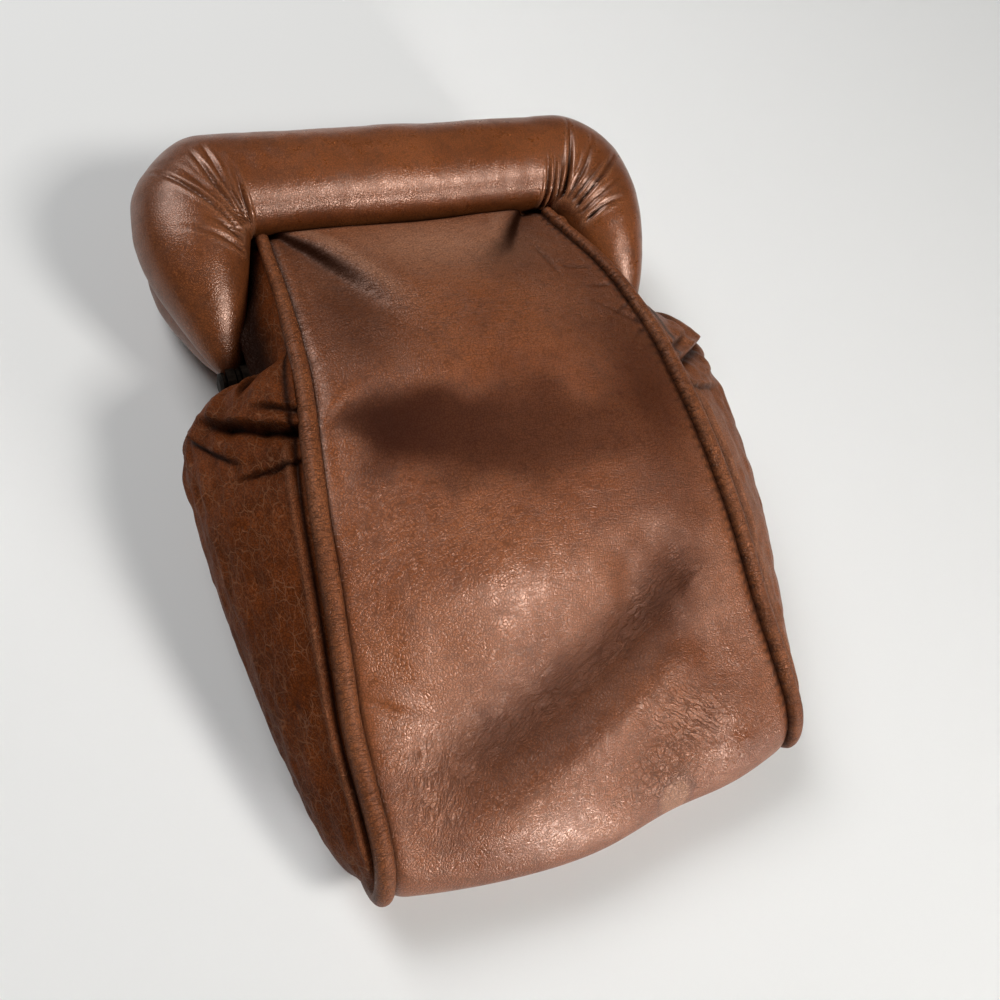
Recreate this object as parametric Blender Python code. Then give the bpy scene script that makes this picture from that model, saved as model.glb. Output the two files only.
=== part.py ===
"""Leather frame pouch: a gusseted soft pouch closed by a padded, hinged U-shaped frame.

The pouch lies on its back. +X runs across it to the right, +Y runs up from its bottom fold to the
padded frame, and +Z points out of the front panel. All sizes are in metres.
"""
import math

import bmesh
import bpy
from mathutils import Matrix, Vector
from mathutils.geometry import interpolate_bezier, intersect_point_line

MM = 0.001
GAP = 0.3 * MM                      # daylight kept between touching pieces

# Padded frame, seen from the front. "Up" is measured along the pouch from below its bottom fold.
FRAME_WIDTH = 100 * MM              # over the outsides of the padded arms
ROLL_WIDTH = 18.6 * MM              # one padded roll, in the plane of the frame
ROLL_HEIGHT = 14.6 * MM             # one padded roll, front to back
FRAME_TOP = 138.1 * MM              # up to the top of the padded bar
OUTER_CORNER = 13.8 * MM
INNER_CORNER = 1.8 * MM
MID_Z = 15 * MM                     # height of the parting plane between the two rolls
TIP_UP = 98.5 * MM                  # where the padded arms end, just above the hinge
TIP_WIDTH = 7.2 * MM
TIP_HEIGHT = 5.6 * MM
PLEATS = 6                          # gathers round each corner
PLEAT_DEPTH = 0.6 * MM
COVER_LEATHER = 1.2 * MM
ROLL_SIDES = 12
ROLL_EDGE = 0.45                    # height of a roll's widest line, as a share of its height
ARM_TAPER = 2.2                     # how suddenly an arm's outer edge draws in to its tip
COVER_STEPS = (5, 2 * PLEATS, 2)    # rings along an arm, round a corner and along half the bar
CORE_STEPS = (5, PLEATS, 2)
PADDING_FROM = 0.25                 # the foam starts this share of the way up an arm
DIAGONAL = Vector((1, 1))
FLIP = Vector((-1, 1))              # turns the right half's points into the left half's

# Steel bows and their rivets.
HINGE_UP = 93.6 * MM
STRIP = 1.2 * MM                    # thickness of the bow's flat strip
STRIP_WIDTH = 7 * MM
FRONT_STRIP_X = 40.7 * MM
REAR_STRIP_X = 38.1 * MM
STRIP_CORNER_X = 31.7 * MM          # centre of the bow's corner bends
STRIP_CORNER_UP = 119.8 * MM
STRIP_CORNER_STEPS = 6
STRIP_LIFT = 8.4 * MM               # middle of the strip's width, off the parting plane
STRIP_END_UP = 94.6 * MM            # where the strip runs into its ear
# The strip narrows down each arm to its ear: up, lift off the parting plane and half width, in mm.
STRIP_TAPER = [(96.4, 1.6, 1.2), (98.5, 2.9, 1.1), (103, 4.3, 1.3), (109, 6.4, 2.6)]
STRIP_ROOT = (0.4 * MM, 1.3 * MM)   # the same two at the ear
STRIP_FULL_UP = 115 * MM
EAR_RADIUS = 3.1 * MM
EAR_THICKNESS = 1.4 * MM
RIVET_RADIUS = 1.3 * MM
RIVET_HEAD_RADIUS = 2.4 * MM
RIVET_HEAD = 0.9 * MM
WASHER_RADIUS = 2.8 * MM
WASHER = 0.6 * MM
ROUND_SIDES = 20
CUT_PAST = 1 * MM                   # a cutter runs this far past what it cuts

# Hidden magnet pair in the padded bars.
MAGNET_SIZE = (24 * MM, 6 * MM, 2 * MM)

# Soft body.
PANEL = 1.4 * MM                    # wrap panel, with its turned edges
GUSSET = 1.2 * MM
LINING = 0.8 * MM
SIDE_LINING_DEPTH = 2.2 * MM        # from the gusset's middle surface to its lining's
LINING_GAP = 0.5 * MM               # between the wrap's leather and its lining
LINING_INSET = 1.4 * MM             # the wrap's lining stops this far inside the wrap's edges
SIDE_LINING_INSET = 2.1 * MM        # the gusset's lining, inside the gusset's edges
PIPING_RADIUS = 1.6 * MM
PANEL_INSET = PIPING_RADIUS + GAP   # the wrap's edge, from the middle of the piping
SEAM_SINK = 0.6 * MM                # the piping's middle lies this far below the panel's face
TABLE_FROM_Z = 11 * MM              # below here the rear piping is drawn in, to lie on the table
TABLE_TO_Z = 2 * MM
BOTTOM_HALF_WIDTH = 40.4 * MM       # to the middle of the piping, at the bottom fold
TOP_HALF_WIDTH = 29 * MM            # the same, at the mouth
SIDE_SWELL = 0.9 * MM
BOTTOM_UP = 6.6 * MM
MOUTH_UP = 118.8 * MM
PIPING_END_UP = 116.5 * MM
WING_TOP_UP = 113 * MM
WING_LIFT = 4.5 * MM                # where a wing meets the roll, off the parting plane
WING_BOW = 0.5 * MM
WING_STEPS = (5, 4)                 # rows up a wing and columns across it
FRONT_CROWN = 2.6 * MM
CROWN_FROM_UP = 12 * MM
BOTTOM_CROWN = 6 * MM               # how far the bottom fold bellies out between the seams

# Outer face of the wrap panel, up and z in mm: front mouth, front, bottom fold, back, rear mouth.
FOLD_POINT = (92, 31.0)             # the front panel folds here when the mouth opens
FRONT_FACE = [(118.8, 21.6), (110, 25.2), (101, 28.8), FOLD_POINT, (78, 32.6), (62, 32.4), (45, 28.6),
              (30, 23.4), (18, 20.0), (10, 16.8)]
FOLD_AND_BACK = [(6.0, 11.2), (8.0, 5.2), (13.5, 1.3), (22, 0), (40, 0), (60, 0), (80, 0), (99, 0),
                 (107, 1.2), (113, 4.2), (118.8, 8.4)]

# Folds of the slack front, x across and up along the pouch in mm. Each is a line drawn on the leather.
LEFT_FOLD = [(-27, 119.5), (-20.6, 107.3), (-15.2, 96.1), (-10.3, 88.1)]
RIGHT_FOLD = [(24.4, 119.5), (14.4, 106.8), (0, 99)]
TROUGH = [(21, 35.5), (0, 26), (-34, 17)]
LEFT_SHELF = (2.2, 3.0, 2.0, 7.0)   # how soft a fold is, its rise, its drop and how far they reach
RIGHT_SHELF = (2.2, 2.2, 1.7, 5.5)
LEFT_FADE_FROM = 0.62               # share of the way along a fold where it starts to die out
RIGHT_FADE_FROM = 0.4
TROUGH_ENDS = (0.15, 0.3)           # shares over which the trough starts and dies out
TROUGH_HUMPS = [(-1.5, 5.8, -2.7), (8.0, 5.0, 1.3)]     # place beside the line, width and height
DENTS = [((-4, 67), (24, 10), -1.6), ((-12, 46), (14, 8), 0.9), ((24, 14), (10, 7), 1.0),
         ((16, 43), (9, 5), -1.0)]      # middle, half sizes and height of the broad dents and swells
SEAM_FADE = 5                       # the folds die out over this far from a seam
MOUTH_FADE = 3
LOW_FADE_FROM = 8
LOW_FADE = 8

# Outward swell of each side gusset, up and swell in mm. It is drawn in under the hinge.
GUSSET_LOW_UP = 9 * MM
SHOULDER_UP = 84 * MM               # the gusset's rows close up above here
GUSSET_TOP_UP = 97 * MM
GUSSET_ROWS = (15, 8)               # below and above the shoulder
GUSSET_COLUMNS = 9
GUSSET_ROUNDNESS = 0.8              # below 1 fills out the gusset beside its seams
GUSSET_SWELL = [(9, 1.8), (15, 5.4), (30, 9.8), (45, 13.3), (60, 16.0), (72, 17.3), (80, 17.8),
                (84.5, 16.4), (87.6, 11.5), (89.6, 4.8), (91, 2.6), (97, 2.0)]

LEATHER = (0.178, 0.060, 0.027)
DARK_LEATHER = (0.118, 0.036, 0.014)
LINING_CLOTH = (0.20, 0.13, 0.08)
STEEL = (0.10, 0.085, 0.07)
FOAM = (0.72, 0.66, 0.52)
MAGNET = (0.25, 0.25, 0.26)


def smooth_curve(points, span_steps):
    """Points along one smooth curve through hand-chosen points, with a step count for each span."""
    points = [Vector(p) for p in points]
    last = len(points) - 1
    path = []
    for i, steps in enumerate(span_steps):
        start, end = points[i], points[i + 1]
        before, after = points[max(i - 1, 0)], points[min(i + 2, last)]
        reach = (end - start).length / 3
        leave = start + (end - before).normalized() * reach
        arrive = end - (after - start).normalized() * reach
        path += interpolate_bezier(start, leave, arrive, end, steps + 1)[:-1]
    return path + [points[last]]


def spread(start, end, steps):
    """Even steps from one value to another, both included."""
    return [start + (end - start) * k / steps for k in range(steps + 1)]


def lookup(pairs, position):
    """Value of a rising list of (position, value) pairs, read at a position."""
    for (a, low), (b, high) in zip(pairs, pairs[1:]):
        if position <= b:
            return low + (high - low) * max(position - a, 0) / (b - a)
    return pairs[-1][1]


FRONT_STEPS = [3] * len(FRONT_FACE)   # rows for each span of the wrap's profile
FOLD_AND_BACK_STEPS = [2, 2, 2, 1, 1, 1, 1, 2, 2, 2]
PANEL_COLUMNS = 12
SIDE_LINING_COLUMNS = 6
SWELL_STEPS = [6] * (len(GUSSET_SWELL) - 1)
FINE_STEPS = 160                    # fine steps across a gusset, from which its rows are picked
WRAP_POINTS = [Vector((up * MM, z * MM, 0)) for up, z in FRONT_FACE + FOLD_AND_BACK]
WRAP_STEPS = FRONT_STEPS + FOLD_AND_BACK_STEPS
WRAP_PATH = [Vector((p.x, max(p.y, 0))) for p in smooth_curve(WRAP_POINTS, WRAP_STEPS)]
FOLD_INDEX = sum(WRAP_STEPS[:FRONT_FACE.index(FOLD_POINT)])
BOTTOM_INDEX = min(range(len(WRAP_PATH)), key=lambda i: WRAP_PATH[i].x)
SWELL_POINTS = [(up * MM, swell * MM, 0) for up, swell in GUSSET_SWELL]
SWELL_CURVE = [(p.x, p.y) for p in smooth_curve(SWELL_POINTS, SWELL_STEPS)]


def wrap_normal(i):
    """Outward normal of the wrap panel's profile, as up and z."""
    ahead = WRAP_PATH[min(i + 1, len(WRAP_PATH) - 1)]
    behind = WRAP_PATH[max(i - 1, 0)]
    along = (ahead - behind).normalized()
    return Vector((along.y, -along.x))


def half_width(up):
    """From the centre line to the middle of the piping."""
    share = (up - BOTTOM_UP) / (MOUTH_UP - BOTTOM_UP)
    swell = SIDE_SWELL * math.sin(math.pi * min(max(share, 0), 1))
    return BOTTOM_HALF_WIDTH + (TOP_HALF_WIDTH - BOTTOM_HALF_WIDTH) * share + swell


def piping_point(i):
    """Middle of the piping at a profile point: half width, up and z."""
    at = WRAP_PATH[i]
    on_back = i > BOTTOM_INDEX
    low = min(max((TABLE_FROM_Z - at.y) / (TABLE_FROM_Z - TABLE_TO_Z), 0), 1) if on_back else 0
    sink = SEAM_SINK + (PIPING_RADIUS + GAP - SEAM_SINK) * low
    middle = at - wrap_normal(i) * sink
    return Vector((half_width(at.x), middle.x, middle.y))


def ease(share):
    """0 below 0, 1 above 1 and a soft step between."""
    share = min(max(share, 0), 1)
    return share * share * (3 - 2 * share)


def from_line(line, x, up):
    """Distance from a broken line, positive on its left, and the share of the way along it."""
    point = Vector((x, up))
    best, done = None, 0.0
    for a, b in zip(line, line[1:]):
        start, end = Vector(a), Vector(b)
        run = end - start
        share = min(max((point - start).dot(run) / run.length_squared, 0), 1)
        offset = point - start - run * share
        if best is None or offset.length < abs(best[0]):
            turn = run.x * (up - start.y) - run.y * (x - start.x)
            best = (math.copysign(offset.length, turn), done + share * run.length)
        done += run.length
    return best[0], best[1] / done


def shelf(distance, soft, rise, drop, reach):
    """A fold's section: leather raised on one side of a line and sunk on the other, dying away."""
    size = rise if distance > 0 else -drop
    return size * math.exp(-abs(distance) / reach) * abs(math.tanh(distance / soft))


def hump(distance, width):
    """A soft hump, 1 in its middle."""
    return math.exp(-(distance / width) ** 2)


def front_relief(x, up):
    """How far the folds lift the slack front, everything in mm."""
    away, share = from_line(LEFT_FOLD, x, up)
    lift = shelf(away, *LEFT_SHELF) * ease((1 - share) / (1 - LEFT_FADE_FROM))
    away, share = from_line(RIGHT_FOLD, x, up)
    lift += shelf(-away, *RIGHT_SHELF) * ease((1 - share) / (1 - RIGHT_FADE_FROM))
    away, share = from_line(TROUGH, x, up)
    ends = ease(share / TROUGH_ENDS[0]) * ease((1 - share) / TROUGH_ENDS[1])
    lift += ends * sum(height * hump(away - at, width) for at, width, height in TROUGH_HUMPS)
    for (at_x, at_up), (wide, long), height in DENTS:
        lift += height * hump(x - at_x, wide) * hump(up - at_up, long)
    from_seam = half_width(up * MM) / MM - abs(x)
    fades = (from_seam / SEAM_FADE, (MOUTH_UP / MM - up) / MOUTH_FADE, (up - LOW_FADE_FROM) / LOW_FADE)
    return lift * math.prod(ease(fade) for fade in fades)


def bottom_belly(i):
    """How far the middle of the wrap hangs below its seams, which is most at the bottom fold."""
    return BOTTOM_CROWN * max(-wrap_normal(i).x, 0) ** 1.5


PIPING_PATH = [piping_point(i) for i in range(len(WRAP_PATH))]
LOWEST_UP = min(p.x - bottom_belly(i) for i, p in enumerate(WRAP_PATH))
CENTRE_UP = (LOWEST_UP + FRAME_TOP) / 2
HINGE_Y = HINGE_UP - CENTRE_UP
FRONT_EDGE = sorted((p.y, p.z) for p in PIPING_PATH[:BOTTOM_INDEX + 1])
REAR_EDGE = sorted((p.y, p.z) for p in PIPING_PATH[BOTTOM_INDEX:])


def place(x, up, z):
    """A point of the pouch in the model's frame."""
    return Vector((x, up - CENTRE_UP, z))


def material(name, colour, roughness, metallic=0.0):
    """A plain finish for one sub-part."""
    finish = bpy.data.materials.new(name)
    finish.use_nodes = True
    shader = finish.node_tree.nodes["Principled BSDF"]
    shader.inputs["Base Color"].default_value = (*colour, 1)
    shader.inputs["Roughness"].default_value = roughness
    shader.inputs["Metallic"].default_value = metallic
    return finish


def add_object(name, mesh_or_curve, colour, roughness=0.5, metallic=0.0):
    """Link a named object with its own finish."""
    obj = bpy.data.objects.new(name, mesh_or_curve)
    bpy.context.scene.collection.objects.link(obj)
    mesh_or_curve.materials.append(material(name, colour, roughness, metallic))
    return obj


def mesh_from(name, points, faces):
    """A smooth-shaded mesh whose closed surfaces point outwards."""
    mesh = bpy.data.meshes.new(name)
    mesh.from_pydata(points, [], faces)
    bm = bmesh.new()
    bm.from_mesh(mesh)
    bmesh.ops.recalc_face_normals(bm, faces=bm.faces)
    bm.to_mesh(mesh)
    bm.free()
    mesh.shade_smooth()
    mesh.set_sharp_from_angle(angle=math.radians(40))
    return mesh


def loft(name, rings, closed=False):
    """Skin a run of rings; the ends are capped, or meet each other when closed."""
    sides = len(rings[0])
    points = [p for ring in rings for p in ring]
    faces = []
    for r in range(len(rings) if closed else len(rings) - 1):
        here, there = r * sides, (r + 1) % len(rings) * sides
        for k in range(sides):
            k2 = (k + 1) % sides
            faces.append((here + k, here + k2, there + k2, there + k))
    if not closed:
        faces.append(tuple(range(sides)))
        faces.append(tuple(range(len(points) - sides, len(points))))
    return mesh_from(name, points, faces)


def sheet(name, rows, thickness, colour, roughness=0.5):
    """A sheet of leather or cloth: a grid of points given its thickness."""
    columns = len(rows[0])
    points = [p for row in rows for p in row]
    faces = []
    for r in range(len(rows) - 1):
        for c in range(columns - 1):
            a = r * columns + c
            faces.append((a, a + 1, a + columns + 1, a + columns))
    obj = add_object(name, mesh_from(name, points, faces), colour, roughness)
    solid = obj.modifiers.new("thickness", "SOLIDIFY")
    solid.thickness = thickness
    solid.offset = 0
    return obj


def boolean(obj, cutter, operation):
    """Join or cut with another object, which stays as a hidden guide."""
    cutter.hide_render = True
    cutter.display_type = "WIRE"
    step = obj.modifiers.new(cutter.name, "BOOLEAN")
    step.operation = operation
    step.object = cutter


def turned(name, profile, colour, closed=False):
    """A round piece turned about the hinge axis; its profile is a list of x and radius."""
    rings = []
    for x, radius in profile:
        ring = []
        for k in range(ROUND_SIDES):
            angle = math.tau * k / ROUND_SIDES
            ring.append(place(x, HINGE_UP + radius * math.cos(angle), MID_Z + radius * math.sin(angle)))
        rings.append(ring)
    return add_object(name, loft(name, rings, closed), colour, 0.35, 1.0)


def wrap_sheet(name, first, last, depth, thickness, inset, colour):
    """A stretch of the wrap, front mouth to rear mouth, lying a depth below the outer face."""
    rows = []
    for i in range(first, last + 1):
        at, normal = WRAP_PATH[i], wrap_normal(i)
        full = half_width(at.x) - PANEL_INSET
        edge = half_width(at.x) - inset
        share = (at.x - CROWN_FROM_UP) / (MOUTH_UP - CROWN_FROM_UP)
        rise = math.sin(math.pi * min(max(share, 0), 1))
        crown = FRONT_CROWN * rise if i < BOTTOM_INDEX else 0
        belly = bottom_belly(i)
        trim = 0.0
        if i == first and first > 0:
            trim = -GAP / 2
        if i == last and last < len(WRAP_PATH) - 1:
            trim = GAP / 2
        row = []
        for c in range(PANEL_COLUMNS + 1):
            x = min(max(full * (2 * c / PANEL_COLUMNS - 1), -edge), edge)
            arch = 1 - (x / full) ** 2
            relief = front_relief(x / MM, at.x / MM) * MM if i < BOTTOM_INDEX else 0
            middle = at + normal * (crown * arch + relief - depth)
            row.append(place(x, middle.x - belly * arch + trim, middle.y))
        rows.append(row)
    return sheet(name, rows, thickness, colour)


def piping(name, side, first, last):
    """Corded leather piping along one seam."""
    points = [p for p in PIPING_PATH[first:last + 1] if p.y < PIPING_END_UP]
    if first > 0:
        points[0] = points[0] - Vector((0, GAP / 2, 0))
    if last < len(PIPING_PATH) - 1:
        points[-1] = points[-1] + Vector((0, GAP / 2, 0))
    curve = bpy.data.curves.new(name, "CURVE")
    curve.dimensions = "3D"
    curve.bevel_depth = PIPING_RADIUS
    curve.bevel_resolution = 2
    curve.use_fill_caps = True
    spline = curve.splines.new("POLY")
    spline.points.add(len(points) - 1)
    for knot, p in zip(spline.points, points):
        knot.co = (*place(side * p.x, p.y, p.z), 1)
    return add_object(name, curve, DARK_LEATHER, 0.4)


def clear_of_piping(point, reach):
    """True where a point is at least a reach away from the piping's middle line."""
    for start, end in zip(PIPING_PATH, PIPING_PATH[1:]):
        share = intersect_point_line(point, start, end)[1]
        nearest = start.lerp(end, min(max(share, 0), 1))
        if (point - nearest).length < reach:
            return False
    return True


def gusset_point(up, t):
    """A point of the right gusset's middle surface; t runs from the front seam to the rear seam."""
    front, rear = lookup(FRONT_EDGE, up), lookup(REAR_EDGE, up)
    x = half_width(up) + lookup(SWELL_CURVE, up) * max(math.sin(math.pi * t), 0) ** GUSSET_ROUNDNESS
    return Vector((x, up, front + (rear - front) * t))


def gusset_normal(up, t):
    """Outward normal of the right gusset."""
    along = gusset_point(up + 1 * MM, t) - gusset_point(up - 1 * MM, t)
    around = gusset_point(up, min(t + 0.02, 1)) - gusset_point(up, max(t - 0.02, 0))
    normal = around.cross(along).normalized()
    return normal if normal.x > 0 else -normal


def gusset_sheet(name, side, stations, columns, inset, reach, thickness, colour):
    """A side gusset or its lining: a leaf that swells outwards between the two runs of piping."""
    grid = []
    for up in stations:
        fine = []
        for k in range(1, FINE_STEPS):
            t = k / FINE_STEPS
            point = gusset_point(up, t) - gusset_normal(up, t) * inset
            if clear_of_piping(point, reach):
                fine.append(point)
        row = []
        for c in range(columns + 1):
            point = fine[round((len(fine) - 1) * c / columns)]
            row.append(place(side * point.x, point.y, point.z))
        grid.append(row)
    return sheet(name, grid, thickness, colour)


def tuck_of(strip_x):
    """The rear half nests inside the front half, so its outer edge is tucked in by this much."""
    return FRONT_STRIP_X - strip_x


def arm_edges(share, strip_x):
    """Inner and outer edge of a padded arm, from its tip (0) up to the corner (1)."""
    tuck = tuck_of(strip_x)
    inner_full, outer_full = FRAME_WIDTH / 2 - ROLL_WIDTH, FRAME_WIDTH / 2 - tuck
    inner_tip, outer_tip = strip_x - TIP_WIDTH / 2, strip_x + TIP_WIDTH / 2
    inner_x = inner_full + (inner_tip - inner_full) * (1 - share)
    outer_x = outer_full + (outer_tip - outer_full) * (1 - share) ** ARM_TAPER
    inner_up = TIP_UP + share * (FRAME_TOP - ROLL_WIDTH - INNER_CORNER - TIP_UP)
    outer_up = TIP_UP + share * (FRAME_TOP - OUTER_CORNER - TIP_UP)
    return Vector((inner_x, inner_up)), Vector((outer_x, outer_up))


def half_roll_stations(strip_x, arm_from, arm_steps, corner_steps, bar_steps):
    """Sections of the roll from the right tip to the middle of the bar.

    Each is the inner edge, the outer edge, the roll's height there and the turn round the corner.
    """
    stations = []
    for k in range(arm_steps):
        share = arm_from + (1 - arm_from) * k / arm_steps
        inner, outer = arm_edges(share, strip_x)
        height = TIP_HEIGHT + (ROLL_HEIGHT - TIP_HEIGHT) * (1 - (1 - share) ** 2)
        stations.append((inner, outer, height, 0.0))
    inside_corner = Vector((FRAME_WIDTH / 2 - ROLL_WIDTH, FRAME_TOP - ROLL_WIDTH))
    inner_centre = inside_corner - DIAGONAL * INNER_CORNER
    outer_centre = Vector((FRAME_WIDTH / 2, FRAME_TOP)) - DIAGONAL * OUTER_CORNER
    outer_radius = OUTER_CORNER - tuck_of(strip_x)
    for k in range(corner_steps + 1):
        turn = k / corner_steps
        spoke = Vector((math.cos(turn * math.pi / 2), math.sin(turn * math.pi / 2)))
        stations.append((inner_centre + spoke * INNER_CORNER, outer_centre + spoke * outer_radius,
                         ROLL_HEIGHT, turn))
    for k in range(1, bar_steps + 1):
        share = 1 - k / bar_steps
        inner = Vector((inner_centre.x * share, inner_centre.y + INNER_CORNER))
        outer = Vector((outer_centre.x * share, outer_centre.y + outer_radius))
        stations.append((inner, outer, ROLL_HEIGHT, 0.0))
    return stations


def roll_rings(face, strip_x, skin, arm_from, steps, pleated=False):
    """Rings of a roll, right tip to left tip, a skin below its leather; face is +1 front, -1 rear."""
    half = half_roll_stations(strip_x, arm_from, *steps)
    mirrored = []
    for inner, outer, height, turn in reversed(half[:-1]):
        mirrored.append((inner * FLIP, outer * FLIP, height, turn))
    rings = []
    for inner, outer, height, turn in half + mirrored:
        middle, reach = (inner + outer) / 2, (outer - inner) / 2
        across = reach.normalized() * (reach.length - skin)
        rise = height - 2 * skin
        groove = (0.5 - 0.5 * math.cos(math.tau * PLEATS * turn)) * math.sin(math.pi * turn)
        pleat = -PLEAT_DEPTH * groove if pleated else 0
        ring = []
        for k in range(ROLL_SIDES):
            angle = math.tau * k / ROLL_SIDES
            lift = max(rise * (ROLL_EDGE + (1 - ROLL_EDGE) * math.sin(angle)), 0)
            lift += pleat * max(math.sin(angle), 0)
            at = middle + across * math.cos(angle)
            ring.append(place(at.x, at.y, MID_Z + face * (GAP + skin + lift)))
        rings.append(ring)
    return rings


def strip_rings(face, strip_x, spare):
    """Rectangular rings of a bow's flat strip, right end to left end, with spare room all round."""
    full = (STRIP_LIFT, STRIP_WIDTH / 2)
    arm = [(STRIP_END_UP, *STRIP_ROOT)]
    arm += [(up * MM, lift * MM, half * MM) for up, lift, half in STRIP_TAPER]
    arm += [(STRIP_FULL_UP, *full)]
    right = [(Vector((strip_x, up)), Vector((1, 0)), lift, half) for up, lift, half in arm]
    corner = Vector((STRIP_CORNER_X, STRIP_CORNER_UP))
    for k in range(STRIP_CORNER_STEPS + 1):
        angle = k / STRIP_CORNER_STEPS * math.pi / 2
        spoke = Vector((math.cos(angle), math.sin(angle)))
        right.append((corner + spoke * (strip_x - STRIP_CORNER_X), spoke, *full))
    left = [(at * FLIP, out * FLIP, lift, half) for at, out, lift, half in reversed(right)]
    rings = []
    for at, out, lift, half in right + left:
        near, far = at - out * (STRIP / 2 + spare), at + out * (STRIP / 2 + spare)
        low = MID_Z + face * (lift - half - spare)
        high = MID_Z + face * (lift + half + spare)
        rings.append([place(near.x, near.y, low), place(far.x, far.y, low),
                      place(far.x, far.y, high), place(near.x, near.y, high)])
    return rings


def bow(name, face, strip_x):
    """A U-shaped steel bow with a pierced ear on each end."""
    obj = add_object(name, loft(name, strip_rings(face, strip_x, 0)), STEEL, 0.35, 1.0)
    hole = RIVET_RADIUS + GAP
    for side, label in ((1, "right"), (-1, "left")):
        inside, outside = strip_x - EAR_THICKNESS / 2, strip_x + EAR_THICKNESS / 2
        disc = [(side * inside, EAR_RADIUS), (side * outside, EAR_RADIUS)]
        boolean(obj, turned(f"guide_{name}_ear_{label}", disc, STEEL), "UNION")
        bore = [(side * (inside - CUT_PAST), hole), (side * (outside + CUT_PAST), hole)]
        boolean(obj, turned(f"guide_{name}_bore_{label}", bore, STEEL), "DIFFERENCE")
    return obj


def roll_cover(name, face, strip_x):
    """The padded roll's leather tube, gathered round both corners and open at its tips."""
    outside = roll_rings(face, strip_x, 0, 0, COVER_STEPS, pleated=True)
    inside = roll_rings(face, strip_x, COVER_LEATHER, 0, CORE_STEPS)
    return add_object(name, loft(name, outside + inside[::-1], closed=True), LEATHER, 0.38)


def bar_middle(strip_x):
    """Middle of a padded bar, measured up the pouch."""
    return FRAME_TOP - (ROLL_WIDTH + tuck_of(strip_x)) / 2


def magnet(name, face, strip_x):
    """A flat magnet or keeper, lying in the padded bar against the parting plane."""
    width, depth, height = MAGNET_SIZE
    near = 3 * GAP + COVER_LEATHER
    return block(name, face, width, depth, near, near + height, bar_middle(strip_x))


def block(name, face, width, depth, near, far, middle_up):
    """A rectangular block between two distances from the parting plane."""
    rings = []
    for lift in (near, far):
        z = MID_Z + face * lift
        corners = ((1, 1), (-1, 1), (-1, -1), (1, -1))
        rings.append([place(sx * width / 2, middle_up + sy * depth / 2, z) for sx, sy in corners])
    return add_object(name, loft(name, rings), MAGNET, 0.4, 1.0)


def padding(name, face, strip_x):
    """Foam inside a roll, slotted for the bow and pocketed for the magnet."""
    rings = roll_rings(face, strip_x, COVER_LEATHER + GAP, PADDING_FROM, CORE_STEPS)
    obj = add_object(name, loft(name, rings), FOAM, 0.9)
    slot = add_object(f"guide_{name}_slot", loft(name, strip_rings(face, strip_x, GAP)), FOAM)
    boolean(obj, slot, "DIFFERENCE")
    width, depth, height = MAGNET_SIZE
    pocket = block(f"guide_{name}_pocket", face, width + 2 * GAP, depth + 2 * GAP, 0,
                   4 * GAP + COVER_LEATHER + height, bar_middle(strip_x))
    boolean(obj, pocket, "DIFFERENCE")
    return obj


def wing(name, side, face, strip_x):
    """The gusset's upper corner: leather from the piping across to one half of the frame."""
    edge = FRONT_EDGE if face > 0 else REAR_EDGE
    steps, columns = WING_STEPS
    rows = []
    for r in range(steps + 1):
        up = TIP_UP + (WING_TOP_UP - TIP_UP) * r / steps
        share = (up - TIP_UP) / (FRAME_TOP - ROLL_WIDTH - INNER_CORNER - TIP_UP)
        inner, _ = arm_edges(share, strip_x)
        seam = Vector((half_width(up), lookup(edge, up)))
        frame = Vector((inner.x - GUSSET / 2 - 2 * GAP, MID_Z + face * WING_LIFT))
        start = seam + (frame - seam).normalized() * (PIPING_RADIUS + GUSSET / 2 + GAP)
        row = []
        for c in range(columns + 1):
            t = c / columns
            at = start.lerp(frame, t)
            bowed = WING_BOW * math.sin(math.pi * t)
            row.append(place(side * (at.x - bowed), up, at.y))
        rows.append(row)
    return sheet(name, rows, GUSSET, LEATHER)


def rivet(name, side):
    """The hinge pin: a shank with a head on each end."""
    inside = REAR_STRIP_X - EAR_THICKNESS / 2 - GAP
    outside = FRONT_STRIP_X + EAR_THICKNESS / 2 + GAP
    rim = RIVET_HEAD_RADIUS
    profile = [(inside - RIVET_HEAD, 0.6 * rim), (inside - RIVET_HEAD / 2, rim), (inside, rim),
               (inside, RIVET_RADIUS), (outside, RIVET_RADIUS),
               (outside, rim), (outside + RIVET_HEAD / 2, rim), (outside + RIVET_HEAD, 0.6 * rim)]
    return turned(name, [(side * x, radius) for x, radius in profile], STEEL)


def washer(name, side):
    """A spacer between the two ears on each rivet."""
    middle = (FRONT_STRIP_X + REAR_STRIP_X) / 2
    hole = RIVET_RADIUS + GAP
    near, far = side * (middle - WASHER / 2), side * (middle + WASHER / 2)
    loop = [(near, WASHER_RADIUS), (far, WASHER_RADIUS), (far, hole), (near, hole)]
    return turned(name, loop, STEEL, closed=True)


def carry_on_hinge(pieces):
    """Parent the moving half to an empty on the hinge axis, leaving each piece where it is."""
    pivot = bpy.data.objects.new("front_frame_pivot", None)
    bpy.context.scene.collection.objects.link(pivot)
    pivot.location = (0, HINGE_Y, MID_Z)
    for piece in pieces:
        piece.parent = pivot
        piece.matrix_parent_inverse = Matrix.Translation((0, -HINGE_Y, -MID_Z))


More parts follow.
